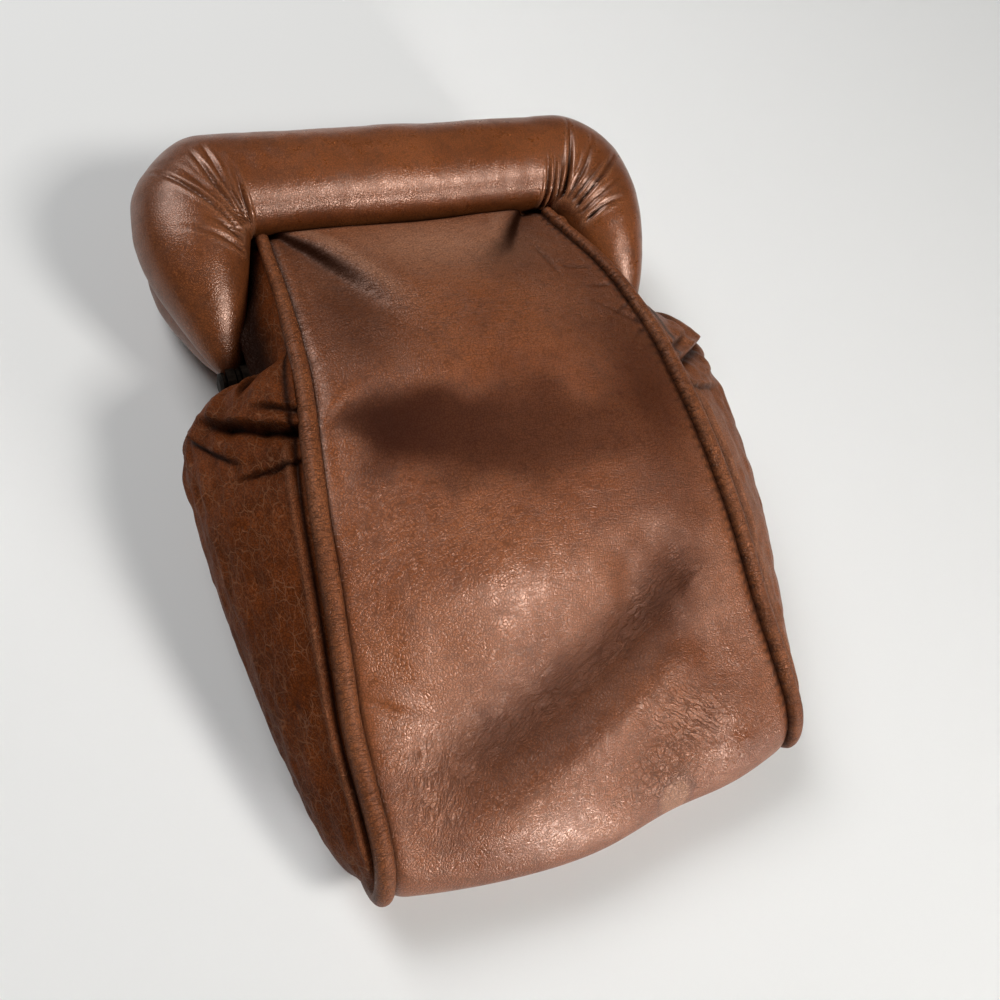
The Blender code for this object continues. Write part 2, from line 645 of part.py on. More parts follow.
def main():
    for obj in list(bpy.data.objects):
        bpy.data.objects.remove(obj, do_unlink=True)

    end = len(WRAP_PATH) - 1
    leather = (PANEL / 2, PANEL, PANEL_INSET, LEATHER)
    lining = (PANEL + LINING_GAP + LINING / 2, LINING, PANEL_INSET + LINING_INSET, LINING_CLOTH)
    wrap_sheet("body_panel", FOLD_INDEX, end, *leather)
    wrap_sheet("lining_wrap", FOLD_INDEX, end, *lining)
    moving = [
        wrap_sheet("front_panel_upper", 0, FOLD_INDEX, *leather),
        wrap_sheet("lining_front_upper", 0, FOLD_INDEX, *lining),
        bow("front_bow", 1, FRONT_STRIP_X),
        padding("front_padding", 1, FRONT_STRIP_X),
        roll_cover("front_roll_cover", 1, FRONT_STRIP_X),
        magnet("front_magnet", 1, FRONT_STRIP_X),
    ]
    bow("rear_bow", -1, REAR_STRIP_X)
    padding("rear_padding", -1, REAR_STRIP_X)
    roll_cover("rear_roll_cover", -1, REAR_STRIP_X)
    magnet("rear_keeper", -1, REAR_STRIP_X)

    low_rows, high_rows = GUSSET_ROWS
    stations = spread(GUSSET_LOW_UP, SHOULDER_UP, low_rows)
    stations += spread(SHOULDER_UP, GUSSET_TOP_UP, high_rows)[1:]
    gusset_reach = PIPING_RADIUS + 2 * GAP
    lining_reach = gusset_reach + SIDE_LINING_INSET
    for side, label in ((1, "right"), (-1, "left")):
        gusset_sheet(f"gusset_{label}", side, stations, GUSSET_COLUMNS, 0, gusset_reach, GUSSET,
                     LEATHER)
        gusset_sheet(f"lining_side_{label}", side, stations[1:-2], SIDE_LINING_COLUMNS,
                     SIDE_LINING_DEPTH, lining_reach, LINING, LINING_CLOTH)
        wing(f"gusset_{label}_rear_wing", side, -1, REAR_STRIP_X)
        piping(f"piping_{label}", side, FOLD_INDEX, end)
        rivet(f"hinge_rivet_{label}", side)
        washer(f"hinge_washer_{label}", side)
        moving.append(wing(f"gusset_{label}_front_wing", side, 1, FRONT_STRIP_X))
        moving.append(piping(f"piping_{label}_upper", side, 0, FOLD_INDEX))
    carry_on_hinge(moving)
    print(f"hinge axis along X at y {HINGE_Y:.5f}, z {MID_Z:.5f}; bottom fold at y {-CENTRE_UP:.5f}")


main()
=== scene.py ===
# %% [markdown]
# # A worn leather frame pouch
#
# This lesson dresses a small pouch: one wrap of soft brown leather, two side gussets, corded piping on
# the seams and a padded, hinged U-shaped frame round the mouth. The solids give every size and the
# hinge. What is made here is the skin: leather that sags, creases, gathers and shines.
#
# The frame is loaded first. It stays where it is, and each new piece is laid on it.

# %% Load the frame
import math

import bpy
import numpy as np
from mathutils import Matrix, Vector
from mathutils.geometry import interpolate_bezier


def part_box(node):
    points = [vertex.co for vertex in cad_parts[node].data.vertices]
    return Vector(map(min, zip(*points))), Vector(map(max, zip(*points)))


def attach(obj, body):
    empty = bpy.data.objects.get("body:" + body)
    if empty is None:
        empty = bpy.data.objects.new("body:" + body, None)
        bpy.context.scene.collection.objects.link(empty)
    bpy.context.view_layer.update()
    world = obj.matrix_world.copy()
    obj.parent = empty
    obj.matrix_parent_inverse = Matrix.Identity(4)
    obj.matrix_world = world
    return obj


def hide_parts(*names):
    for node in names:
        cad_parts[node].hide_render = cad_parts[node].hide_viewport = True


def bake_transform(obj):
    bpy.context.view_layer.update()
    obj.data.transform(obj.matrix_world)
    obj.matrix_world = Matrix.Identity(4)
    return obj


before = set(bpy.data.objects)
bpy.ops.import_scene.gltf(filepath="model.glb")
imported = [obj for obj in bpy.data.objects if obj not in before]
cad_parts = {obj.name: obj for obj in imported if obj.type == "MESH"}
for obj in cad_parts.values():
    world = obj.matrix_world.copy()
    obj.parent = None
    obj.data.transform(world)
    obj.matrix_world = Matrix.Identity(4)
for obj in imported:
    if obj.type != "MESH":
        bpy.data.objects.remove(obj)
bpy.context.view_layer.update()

# %% [markdown]
# ## The camera
#
# The pouch lies on its back and is seen from above, from beside its lower left corner. A camera could be
# aimed with a constraint, but three directions say plainly how it stands: where it looks, and which way
# is up in the picture.

# %% Camera
MM = 0.001
CAMERA_PLACE = Vector((-78.5, -61.4, 174.9)) * MM
LOOK = Vector((0.4193, 0.2936, -0.8591)).normalized()
PICTURE_UP = Vector((0.2016, 0.8925, 0.4034))
LENS_MM = 37.47
SENSOR_MM = 36
NEAREST = 0.01


def make_camera():
    """A camera at the viewing angle of the photograph."""
    bpy.ops.object.camera_add()
    camera = bpy.context.object
    right = LOOK.cross(PICTURE_UP).normalized()
    up = right.cross(LOOK)
    turn = Matrix((right, up, -LOOK)).transposed().to_4x4()
    camera.matrix_world = Matrix.Translation(CAMERA_PLACE) @ turn
    camera.data.lens = LENS_MM
    camera.data.sensor_width = SENSOR_MM
    camera.data.clip_start = NEAREST
    bpy.context.scene.camera = camera
    return camera


print("camera at", [round(c, 3) for c in make_camera().location])

# %% [markdown]
# ## Floor and light
#
# Brown leather shows its form by where it shines. The main lamp stands high at the lower right and gives
# the sheen on the panel. A low lamp under it draws the long highlights on the padded bar and the bottom
# fold; a grid keeps its light off the floor. A broad lamp at the upper left lights the leather that slopes
# away to the mouth. A picture of a studio could light it all at once, but lamps can be moved one by one.

# %% Floor and lamps
FLOOR_SIZE = 3.0
FLOOR_DROP = 0.0001
FLOOR_COLOUR = (0.80, 0.81, 0.81)
MATT = 0.9
LAMP_DISTANCE = 0.9
WHITE_LIGHT = (1.0, 1.0, 1.0)
WARM_LIGHT = (1.0, 0.97, 0.93)
NO_GRID = 180
GRID = 30
ROOM_COLOUR = (1.0, 0.98, 0.95)
ROOM_LIGHT = 0.05


def aim_lamp(name, toward, size, power, colour=WHITE_LIGHT, spread=NO_GRID):
    """A square area lamp in one direction from the pouch, facing it; a small spread is a grid on it."""
    direction = Vector(toward).normalized()
    bpy.ops.object.light_add(type="AREA", location=direction * LAMP_DISTANCE)
    lamp = bpy.context.object
    lamp.name = name
    lamp.rotation_mode = "QUATERNION"
    lamp.rotation_quaternion = direction.to_track_quat("Z", "Y")
    lamp.data.size = size
    lamp.data.energy = power
    lamp.data.color = colour
    lamp.data.spread = math.radians(spread)
    return lamp


def make_stage():
    """The pale floor, the lamps and the world."""
    bpy.ops.mesh.primitive_plane_add(size=FLOOR_SIZE, location=(0, 0, -FLOOR_DROP))
    floor = bpy.context.object
    floor.name = "floor"
    paint = bpy.data.materials.new("floor_paint")
    paint.use_nodes = True
    shader = paint.node_tree.nodes["Principled BSDF"]
    shader.inputs["Base Color"].default_value = (*FLOOR_COLOUR, 1)
    shader.inputs["Roughness"].default_value = MATT
    floor.data.materials.append(paint)
    aim_lamp("key_lamp", (0.40, -0.50, 0.76), size=0.22, power=4.2, colour=WARM_LIGHT)
    aim_lamp("low_lamp", (0.34, -0.90, 0.26), size=0.20, power=0.16, colour=WARM_LIGHT, spread=GRID)
    aim_lamp("left_lamp", (-0.36, 0.58, 0.73), size=0.40, power=5.2)
    world = bpy.data.worlds.new("studio")
    world.use_nodes = True
    room = world.node_tree.nodes["Background"]
    room.inputs["Color"].default_value = (*ROOM_COLOUR, 1)
    room.inputs["Strength"].default_value = ROOM_LIGHT
    bpy.context.scene.world = world
    bpy.context.scene.view_settings.view_transform = "Standard"


make_stage()

# %% [markdown]
# ## The run of the leather
#
# The wrap is one long cut of leather: down the front, round the bottom fold and up the back. Its run is
# drawn as a few given points, the same ones that the solids follow, with one smooth curve through
# them. A simulation could let the leather find such a line, but it wouldn't stay on the solids. Everything
# soft is then placed by two numbers: how far along the run, and how far across.

# %% The wrap's run
FRONT_FACE = [(119.2, 21.5), (110, 25.2), (101, 28.8), (92, 31.0), (78, 32.6), (62, 32.4), (45, 28.6),
              (30, 23.4), (18, 20.0), (10, 16.8)]
FOLD_AND_BACK = [(6.0, 11.2), (8.0, 5.2), (13.5, 1.3), (22, 0), (40, 0), (60, 0), (80, 0), (99, 0),
                 (107, 1.2), (113, 4.2), (118.8, 8.4)]
SPAN_STEPS = 24


def smooth_curve(points):
    """Many points along one smooth curve through a few."""
    points = [Vector((a, b, 0)) for a, b in points]
    last = len(points) - 1
    path = []
    for i in range(last):
        start, end = points[i], points[i + 1]
        before, after = points[max(i - 1, 0)], points[min(i + 2, last)]
        reach = (end - start).length / 3
        leave = start + (end - before).normalized() * reach
        arrive = end - (after - start).normalized() * reach
        path += interpolate_bezier(start, leave, arrive, end, SPAN_STEPS + 1)[:-1]
    return np.array([(p.x, p.y) for p in path + [points[last]]])


RUN = smooth_curve(FRONT_FACE + FOLD_AND_BACK) * MM
RUN[:, 1] = np.maximum(RUN[:, 1], 0)
RUN_STEP = np.gradient(RUN, axis=0)
RUN_STEP /= np.linalg.norm(RUN_STEP, axis=1)[:, None]
RUN_OUT = np.column_stack([RUN_STEP[:, 1], -RUN_STEP[:, 0]])
RUN_LENGTH = np.concatenate([[0], np.cumsum(np.linalg.norm(np.diff(RUN, axis=0), axis=1))])
BOTTOM_AT = RUN_LENGTH[RUN[:, 0].argmin()]
print(f"the wrap runs {RUN_LENGTH[-1] / MM:.0f} mm from mouth to mouth, its fold at {BOTTOM_AT / MM:.0f} mm")

# %% Places on the wrap
BOTTOM_HALF_WIDTH = 40.4 * MM
TOP_HALF_WIDTH = 29 * MM
SIDE_SWELL = 0.9 * MM
BOTTOM_UP = 6.6 * MM
MOUTH_UP = 118.8 * MM
FRAME_TOP = 138.1 * MM
CENTRE_UP = FRAME_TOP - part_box("front_roll_cover")[1].y
FRONT_CROWN = 2.6 * MM
CROWN_FROM_UP = 12 * MM
BOTTOM_CROWN = 5.4 * MM
BELLY_SHARPNESS = 1.5
BELLY_DIP = (13 * MM, 12 * MM, 0.32)    # where the bottom's belly is flatter: place, width and share
LEAN = 1.8 * MM
LEAN_BELOW, LEAN_OVER = 88 * MM, 30 * MM
CORNER_UP, CORNER_OVER = 8 * MM, 25 * MM


def ease(value):
    """0 below 0, 1 above 1 and a soft step between."""
    t = np.clip(value, 0, 1)
    return t * t * (3 - 2 * t)


def half_width(up):
    """From the centre line to the middle of the piping."""
    share = (up - BOTTOM_UP) / (MOUTH_UP - BOTTOM_UP)
    swell = SIDE_SWELL * np.sin(np.pi * np.clip(share, 0, 1))
    return BOTTOM_HALF_WIDTH + (TOP_HALF_WIDTH - BOTTOM_HALF_WIDTH) * share + swell


def lean(up, across):
    """How far the slack lower part hangs to the left of the frame; its left bottom corner stays."""
    right = (1 + across) / 2
    corner = ease((up - CORNER_UP) / CORNER_OVER)
    return -LEAN * ease((LEAN_BELOW - up) / LEAN_OVER) * (right + (1 - right) * corner)


def on_run(length):
    """Up, z and the outward direction at lengths along the wrap's run."""
    return [np.interp(length, RUN_LENGTH, column) for column in (*RUN.T, *RUN_OUT.T)]


def wrap_points(length, across, lift, inset):
    """Points on the wrap's outer face: across is -1 at the left seam and 1 at the right one."""
    up, z, out_up, out_z = on_run(length)
    front = length < BOTTOM_AT
    arch = 1 - across ** 2
    share = np.clip((up - CROWN_FROM_UP) / (MOUTH_UP - CROWN_FROM_UP), 0, 1)
    crown = FRONT_CROWN * np.sin(np.pi * share) * arch * front
    x = (half_width(up) - inset) * across
    dip_x, dip_width, dip_share = BELLY_DIP
    dip = 1 - dip_share * np.exp(-((x - dip_x) / dip_width) ** 2)
    belly = BOTTOM_CROWN * np.maximum(-out_up, 0) ** BELLY_SHARPNESS * arch * dip
    rise = crown + lift
    return np.column_stack([x + lean(up, across), up + out_up * rise - belly - CENTRE_UP, z + out_z * rise])


print(f"from piping to piping: {2 * BOTTOM_HALF_WIDTH / MM:.1f} mm at the bottom, "
      f"{2 * TOP_HALF_WIDTH / MM:.1f} mm at the mouth")

# %% [markdown]
# ## Tools for soft leather
#
# A leather piece starts as a flat grid, as it is cut from the hide. It could be shaped with sculpting
# brushes, but those need a hand, so code lays each point in its place. Creases are drawn as lines on the
# leather, and each point asks how far it is from the line.
# Small random puckers come from a smooth noise with a fixed seed, so each run gives the same pouch.

# %% Cuts and their points
def flat_cut(name, columns, rows):
    """A flat grid, as cut from the hide, and its points' places from -1 to 1 across and along."""
    bpy.ops.object.select_all(action="DESELECT")
    bpy.ops.mesh.primitive_grid_add(x_subdivisions=columns, y_subdivisions=rows, size=2)
    cut = bpy.context.object
    cut.name = cut.data.name = name
    places = points_of(cut)
    return cut, places[:, 0], places[:, 1]


def points_of(piece):
    """A mesh's points as rows of x, y and z."""
    flat = np.empty(len(piece.data.vertices) * 3)
    piece.data.vertices.foreach_get("co", flat)
    return flat.reshape(-1, 3)


def set_points(piece, points):
    """Moves a mesh's points to new places."""
    piece.data.vertices.foreach_set("co", np.asarray(points, float).ravel())
    piece.data.update()


def normals_of(piece):
    """Outward directions at a mesh's points."""
    flat = np.empty(len(piece.data.vertices) * 3)
    piece.data.vertices.foreach_get("normal", flat)
    return flat.reshape(-1, 3)


def mark(piece, name, values):
    """Keeps one number at each point, for the material to read."""
    layer = piece.data.attributes.new(name, "FLOAT", "POINT")
    layer.data.foreach_set("value", np.asarray(values, np.float32))


print("helpers for cuts ready")

# %% Modifiers and edit mode
def apply_modifier(piece, kind, **settings):
    """Adds a modifier, sets it and applies it."""
    bpy.ops.object.select_all(action="DESELECT")
    piece.select_set(True)
    bpy.context.view_layer.objects.active = piece
    bpy.ops.object.modifier_add(type=kind)
    added = piece.modifiers[-1]
    for setting, value in settings.items():
        setattr(added, setting, value)
    bpy.ops.object.modifier_apply(modifier=added.name)


def in_edit_mode(piece, *steps):
    """Runs edit-mode operators on all of a piece."""
    bpy.ops.object.select_all(action="DESELECT")
    piece.select_set(True)
    bpy.context.view_layer.objects.active = piece
    bpy.ops.object.mode_set(mode="EDIT")
    bpy.ops.mesh.select_all(action="SELECT")
    for step in steps:
        step()
    bpy.ops.object.mode_set(mode="OBJECT")


def face_outwards(piece, outward):
    """Turns a sheet's faces over if they look away from a direction on average."""
    if (normals_of(piece) * outward).sum() < 0:
        in_edit_mode(piece, bpy.ops.mesh.flip_normals)


print("helpers for editing ready")

# %% Noise and lines
LATTICE = (97, 89)


def soft_noise(u, v, seed):
    """Smooth random values from -1 to 1 on a plane, about one hump to each unit."""
    lattice = np.random.default_rng(seed).uniform(-1, 1, LATTICE)
    i, j = np.floor(u).astype(int), np.floor(v).astype(int)
    a, b = ease(u - i), ease(v - j)
    corner = [lattice[(i + k) % LATTICE[0], (j + m) % LATTICE[1]] for k in (0, 1) for m in (0, 1)]
    low = corner[0] * (1 - b) + corner[1] * b
    high = corner[2] * (1 - b) + corner[3] * b
    return low * (1 - a) + high * a


def from_line(line, x, y):
    """Distance from a broken line, positive on its left, and the share of the way along it."""
    line = np.asarray(line, float)
    lengths = np.linalg.norm(np.diff(line, axis=0), axis=1)
    best = np.full(len(x), np.inf)
    side = np.zeros(len(x))
    share = np.zeros(len(x))
    done = 0.0
    for a, b, long in zip(line, line[1:], lengths):
        dx, dy = (b - a) / long
        t = np.clip((x - a[0]) * dx + (y - a[1]) * dy, 0, long)
        far = np.hypot(x - a[0] - dx * t, y - a[1] - dy * t)
        turn = dx * (y - a[1]) - dy * (x - a[0])
        near = far < best
        best = np.where(near, far, best)
        side = np.where(near, np.sign(turn), side)
        share = np.where(near, (done + t) / lengths.sum(), share)
        done += long
    return best * side, share


print("the noise repeats after", LATTICE, "humps")

# %% [markdown]
# ## Leather finish
#
# Leather is never one colour: the dye lies deeper in the pores, wears off in places and darkens where
# hands hold it. One recipe makes every leather here, with its own colours and gloss. Pebbled grain of
# about half a millimetre comes from Voronoi cells, bent by noise so that no cell is regular. The pieces
# themselves say where they are stained or worn, where shade and highlights are painted on them and where
# they are polished, in numbers kept at their points.

# %% Shader helpers
PER_MM = 1000.0


def wire(tree, kind, inputs=None, **settings):
    """Adds a shader node; inputs take a value or another node's output."""
    made = tree.nodes.new(kind)
    for setting, value in settings.items():
        setattr(made, setting, value)
    for name, value in (inputs or {}).items():
        if isinstance(value, bpy.types.NodeSocket):
            tree.links.new(value, made.inputs[name])
        else:
            made.inputs[name].default_value = value
    return made


def noise(tree, where, scale, detail=3.0, roughness=0.5):
    """Smooth cloudy values from 0 to 1."""
    inputs = {"Vector": where, "Scale": scale, "Detail": detail, "Roughness": roughness}
    return wire(tree, "ShaderNodeTexNoise", inputs).outputs["Fac"]


def between(tree, value, low, high, to_low=0.0, to_high=1.0):
    """Stretches a range of values to another one, with soft ends."""
    inputs = {"Value": value, "From Min": low, "From Max": high, "To Min": to_low, "To Max": to_high}
    made = wire(tree, "ShaderNodeMapRange", inputs, interpolation_type="SMOOTHSTEP")
    return made.outputs["Result"]


def sums(tree, operation, *values):
    """One step of arithmetic on values."""
    inputs = dict(enumerate(values))
    return wire(tree, "ShaderNodeMath", inputs, operation=operation).outputs[0]


def tint(tree, share, first, second):
    """Mixes two colours by a share."""
    inputs = {"Fac": share, "Color1": first, "Color2": second}
    return wire(tree, "ShaderNodeMixRGB", inputs).outputs["Color"]


def kept_number(tree, name):
    """A number that the piece keeps at its points."""
    return wire(tree, "ShaderNodeAttribute", attribute_name=name).outputs["Fac"]


def new_finish(name):
    """An empty material, with its shader and places in millimetres."""
    finish = bpy.data.materials.new(name)
    finish.use_nodes = True
    tree = finish.node_tree
    where = wire(tree, "ShaderNodeTexCoord").outputs["Object"]
    in_mm = wire(tree, "ShaderNodeVectorMath", {0: where, "Scale": PER_MM}, operation="SCALE")
    return finish, tree, tree.nodes["Principled BSDF"], in_mm.outputs[0]


print("materials are measured in mm:", PER_MM, "to a metre")

# %% [markdown]
# The recipe starts with the grain: places that wander, the pebbles between the pores, and every fine
# crease. Old gusset leather also crackles, in patches of pale ridges drawn out along the pouch. A picture
# of leather could be laid on instead, but it would repeat, and it would not know where the folds are.

# %% Grain, creases and crackle
WANDER_SCALE, WANDER_MM = 0.35, 1.6
PEBBLE_EDGE = 0.25
PORE_SCALE = 3.2
WEB_MM, WEB_WIDTH = 1.6, 0.06
FINE_SHARE, FINE_STRENGTH = 0.43, 0.6
WRINKLE_SIZE, WRINKLE_WIDTH = (5.0, 0.8, 2.0), 0.045
WRINKLES = {"level_wrinkles": 6, "trough_wrinkles": 26, "right_wrinkles": 143, "left_wrinkles": 56}
CRACKLE_MM, CRACKLE_WIDTH, CRACKLE_STRETCH = 1.3, 0.055, (1.0, 2.3, 1.2)


def crazing(tree, where, size, width):
    """Thin lines that part the leather in cells of a size, at two scales, 1 on a line and 0 off it."""
    lines = []
    for share, strength in ((1.0, 1.0), (FINE_SHARE, FINE_STRENGTH)):
        edge = {"Vector": where, "Scale": 1 / (size * share)}
        edge = wire(tree, "ShaderNodeTexVoronoi", edge, feature="DISTANCE_TO_EDGE").outputs["Distance"]
        lines.append(between(tree, edge, 0.0, width, strength, 0.0))
    return sums(tree, "MAXIMUM", *lines)


def wrinkles(tree, where, mask, angle):
    """Fine creases that all run one way, 1 on one of them, where the piece asks for them."""
    turned = {"Vector": where, "Rotation": (0, 0, math.radians(angle)), "Scale": WRINKLE_SIZE}
    turned = wire(tree, "ShaderNodeMapping", turned, vector_type="TEXTURE").outputs["Vector"]
    from_crease = sums(tree, "ABSOLUTE", sums(tree, "SUBTRACT", noise(tree, turned, 1.0, 2.0), 0.5))
    on_crease = between(tree, from_crease, 0.0, WRINKLE_WIDTH, 1.0, 0.0)
    return sums(tree, "MULTIPLY", on_crease, kept_number(tree, mask))


def grain(tree, where, pebble):
    """Places that wander, the pebbles on them, 0 in a pore and 1 on a pebble, and a finer unevenness."""
    drift = wire(tree, "ShaderNodeTexNoise", {"Vector": where, "Scale": WANDER_SCALE, "Detail": 2.0})
    bend = {0: drift.outputs["Color"], 1: (WANDER_MM, WANDER_MM, WANDER_MM), 2: where}
    bent = wire(tree, "ShaderNodeVectorMath", bend, operation="MULTIPLY_ADD").outputs[0]
    cells = {"Vector": bent, "Scale": 1 / pebble}
    cells = wire(tree, "ShaderNodeTexVoronoi", cells, feature="DISTANCE_TO_EDGE").outputs["Distance"]
    return bent, between(tree, cells, 0.0, PEBBLE_EDGE), noise(tree, bent, PORE_SCALE, 2.0)


def crease_lines(tree, bent):
    """All the fine creases that a piece asks for, 1 where one of them runs."""
    lines = sums(tree, "MULTIPLY", crazing(tree, bent, WEB_MM, WEB_WIDTH), kept_number(tree, "web"))
    for mask, angle in WRINKLES.items():
        lines = sums(tree, "MAXIMUM", lines, wrinkles(tree, bent, mask, angle))
    return lines


def crackle(tree, where, bent):
    """Raised ridges of crackled leather, 1 on a ridge, in patches."""
    patchy = between(tree, noise(tree, where, 0.25, 4.0), 0.34, 0.6, 0.1, 1.0)
    drawn_out = {"Vector": bent, "Scale": CRACKLE_STRETCH}
    drawn_out = wire(tree, "ShaderNodeMapping", drawn_out, vector_type="TEXTURE").outputs["Vector"]
    return sums(tree, "MULTIPLY", crazing(tree, drawn_out, CRACKLE_MM, CRACKLE_WIDTH), patchy)


print("fine wrinkles run at", sorted(WRINKLES.values()), "degrees")

# %% [markdown]
# Colour and shine are laid over the grain. Two tones drift into each other like clouds, darker blotches
# lie on them, and then come the stains and painted shade, the worn places and painted highlights, the
# dark pores and the painted shade in creases. The shine is warm, and it is blotchy too: stains and
# painted shade are dull, and polished leather is smooth.

# %% Leather colours and shine
VEIN = (0.30, 0.135, 0.070)
WARM_SHINE = (1.0, 0.69, 0.57)
# Colour of real stains and also of painted shade in the hollows and at the folds' feet.
STAIN_SHADE_COLOUR = (0.034, 0.011, 0.007)
# Colour of worn leather and also of painted highlights on crests and ridges and of painted light on the
# tongue.
RUB_HIGHLIGHT_COLOUR = (0.50, 0.26, 0.16)
CLOUD_SCALE, BLOTCH_SCALE = 0.055, 0.35
BLOTCH_SHARE = 0.5
PORE_SHARE, PORE_DARK = 0.5, 0.45
LINE_SHARE, LINE_DARK, LINE_DEPTH = 0.3, 0.5, 5.0
PORE_HEIGHT, RIDGE_HEIGHT = 0.9, 3.0
# Painted shade in creases, seams, gathers and under the bar mixes towards this share of the dark colour.
CREASE_SHADE_DARK = 0.22
# Stains and painted shade make the leather rougher and less shiny.
STAIN_SHADE_DULLS, POLISH_SMOOTHS = 0.14, 0.12
STAIN_SHADE_SHINE, POLISHED_RELIEF = 0.05, 0.45


def shade_of(colour, share=1.0):
    """A darker shade of a colour, with the fourth value that a socket wants."""
    return (*[share * c for c in colour], 1)


def set_shine(tree, shader, blotch, gloss, shine):
    """Roughness and shine: blotchy, duller on stains and painted shade, smooth where the leather is
    polished.
    """
    stain_and_shade, polish = kept_number(tree, "stain_and_shade"), kept_number(tree, "polish")
    rough = between(tree, blotch, 0.25, 0.75, gloss - 0.05, gloss + 0.09)
    rough = sums(tree, "ADD", rough, sums(tree, "MULTIPLY", stain_and_shade, STAIN_SHADE_DULLS))
    rough = sums(tree, "SUBTRACT", rough, sums(tree, "MULTIPLY", polish, POLISH_SMOOTHS))
    tree.links.new(rough, shader.inputs["Roughness"])
    shining = between(tree, stain_and_shade, 0.0, 1.0, shine, STAIN_SHADE_SHINE * shine)
    tree.links.new(shining, shader.inputs["Specular IOR Level"])
    shader.inputs["Specular Tint"].default_value = shade_of(WARM_SHINE)


def leather(name, light, middle, dark, gloss, shine, pebble=0.5, relief=0.03, veins=0.0):
    """Grained leather: three colours, roughness and shine, the size of its pebbles and its grain's depth."""
    finish, tree, shader, where = new_finish(name)
    bent, pebbles, pores = grain(tree, where, pebble)
    lines = crease_lines(tree, bent)
    cloud = noise(tree, where, CLOUD_SCALE, 5.0, 0.62)
    blotch = noise(tree, bent, BLOTCH_SCALE, 4.0, 0.6)
    colour = tint(tree, between(tree, cloud, 0.32, 0.68), shade_of(middle), shade_of(light))
    colour = tint(tree, between(tree, blotch, 0.45, 0.8, 0.0, BLOTCH_SHARE), colour, shade_of(dark))
    # The stain mark darkens real stains and painted shade alike.
    colour = tint(tree, kept_number(tree, "stain_and_shade"), colour, shade_of(STAIN_SHADE_COLOUR))
    # The rub mark lightens worn places and painted highlights alike.
    colour = tint(tree, kept_number(tree, "rub_and_highlight"), colour, shade_of(RUB_HIGHLIGHT_COLOUR))
    in_pores = between(tree, pebbles, 0.0, 0.7, PORE_SHARE, 0.0)
    colour = tint(tree, in_pores, colour, shade_of(dark, PORE_DARK))
    colour = tint(tree, sums(tree, "MULTIPLY", lines, LINE_SHARE), colour, shade_of(dark, LINE_DARK))
    height = sums(tree, "ADD", pebbles, sums(tree, "MULTIPLY", pores, PORE_HEIGHT))
    height = sums(tree, "SUBTRACT", height, sums(tree, "MULTIPLY", lines, LINE_DEPTH))
    if veins:
        ridges = crackle(tree, where, bent)
        colour = tint(tree, sums(tree, "MULTIPLY", ridges, veins), colour, shade_of(VEIN))
        height = sums(tree, "ADD", height, sums(tree, "MULTIPLY", ridges, RIDGE_HEIGHT))
    # The crease mark is painted shade in creases, seams, gathers and under the bar; on the wrap it also
    # draws the worn spot's dark rim.
    colour = tint(tree, kept_number(tree, "shade_and_worn_rim"), colour, shade_of(dark, CREASE_SHADE_DARK))
    tree.links.new(colour, shader.inputs["Base Color"])
    worn_flat = between(tree, kept_number(tree, "polish"), 0.0, 1.0, 1.0, POLISHED_RELIEF)
    bump = wire(tree, "ShaderNodeBump", {"Height": height, "Strength": worn_flat, "Distance": relief * MM})
    tree.links.new(bump.outputs["Normal"], shader.inputs["Normal"])
    set_shine(tree, shader, blotch, gloss, shine)
    return finish


print("leather recipe ready; stain", STAIN_SHADE_COLOUR, "and rubbed", RUB_HIGHLIGHT_COLOUR)

# %% The pouch's leathers
BODY_LEATHER = leather("body_leather", (0.280, 0.090, 0.033), (0.205, 0.058, 0.018),
                       (0.070, 0.017, 0.005), gloss=0.36, shine=0.85)
# The gusset leather has a darker copy for the shaded left gusset and the wings, and a paler copy for the lit
# right gusset: painted shade and painted light.
SHADED_GUSSET_LEATHER = leather("gusset_leather", (0.160, 0.040, 0.010), (0.098, 0.022, 0.004),
                         (0.022, 0.004, 0.001), gloss=0.46, shine=0.08, veins=0.4)
LIT_GUSSET_LEATHER = leather("lit_gusset_leather", (0.290, 0.100, 0.040), (0.210, 0.066, 0.024),
                      (0.080, 0.022, 0.007), gloss=0.42, shine=0.5, veins=0.25)
PIPING_LEATHER = leather("piping_leather", (0.262, 0.086, 0.031), (0.190, 0.056, 0.018),
                         (0.048, 0.013, 0.004), gloss=0.48, shine=0.4)
ROLL_LEATHER = leather("roll_leather", (0.248, 0.075, 0.023), (0.175, 0.048, 0.012),
                       (0.053, 0.014, 0.0035), gloss=0.30, shine=1.0, pebble=0.45, relief=0.015)
print("leathers:", [m.name for m in bpy.data.materials if "leather" in m.name])

# %% [markdown]
# ## The wrap
#
# The front of the wrap is slack. It hangs from the frame, so one fold runs in from each top corner, the
# belly is dented where a hand holds it, and a long trough runs down to the left towards the bottom. Each
# is a line or a patch drawn on the leather in millimetres, x across and up along the pouch. A cloth
# simulation would find folds of its own, and these have to lie where the pouch has them. The edges dive
# beside the piping, where the stitching pulls them down.

# %% Sections of a fold
def overhang(distance, crest, soft, rise, drop, reach):
    """A fold's section: on one side the leather swells to a crest, on the other it falls away sharply."""
    over, under = np.maximum(distance, 0), np.maximum(-distance, 0)
    high = rise * (1 - np.exp(-over / crest)) * np.exp(-(over / reach) ** 2)
    low = drop * np.tanh(under / soft) * np.exp(-(under / reach) ** 2)
    return high - low


def shelf(distance, soft, above, below, reach):
    """A soft fold's section: leather raised on one side of the line and sunk on the other, dying away."""
    step = np.tanh(distance / soft)
    high = above * np.exp(-np.maximum(distance, 0) / reach)
    low = below * np.exp(-np.maximum(-distance, 0) / reach)
    return np.where(distance > 0, high, -low) * np.abs(step)


def patch(x, up, middle, size):
    """A soft round patch, 1 in its middle."""
    return np.exp(-((x - middle[0]) / size[0]) ** 2 - ((up - middle[1]) / size[1]) ** 2)


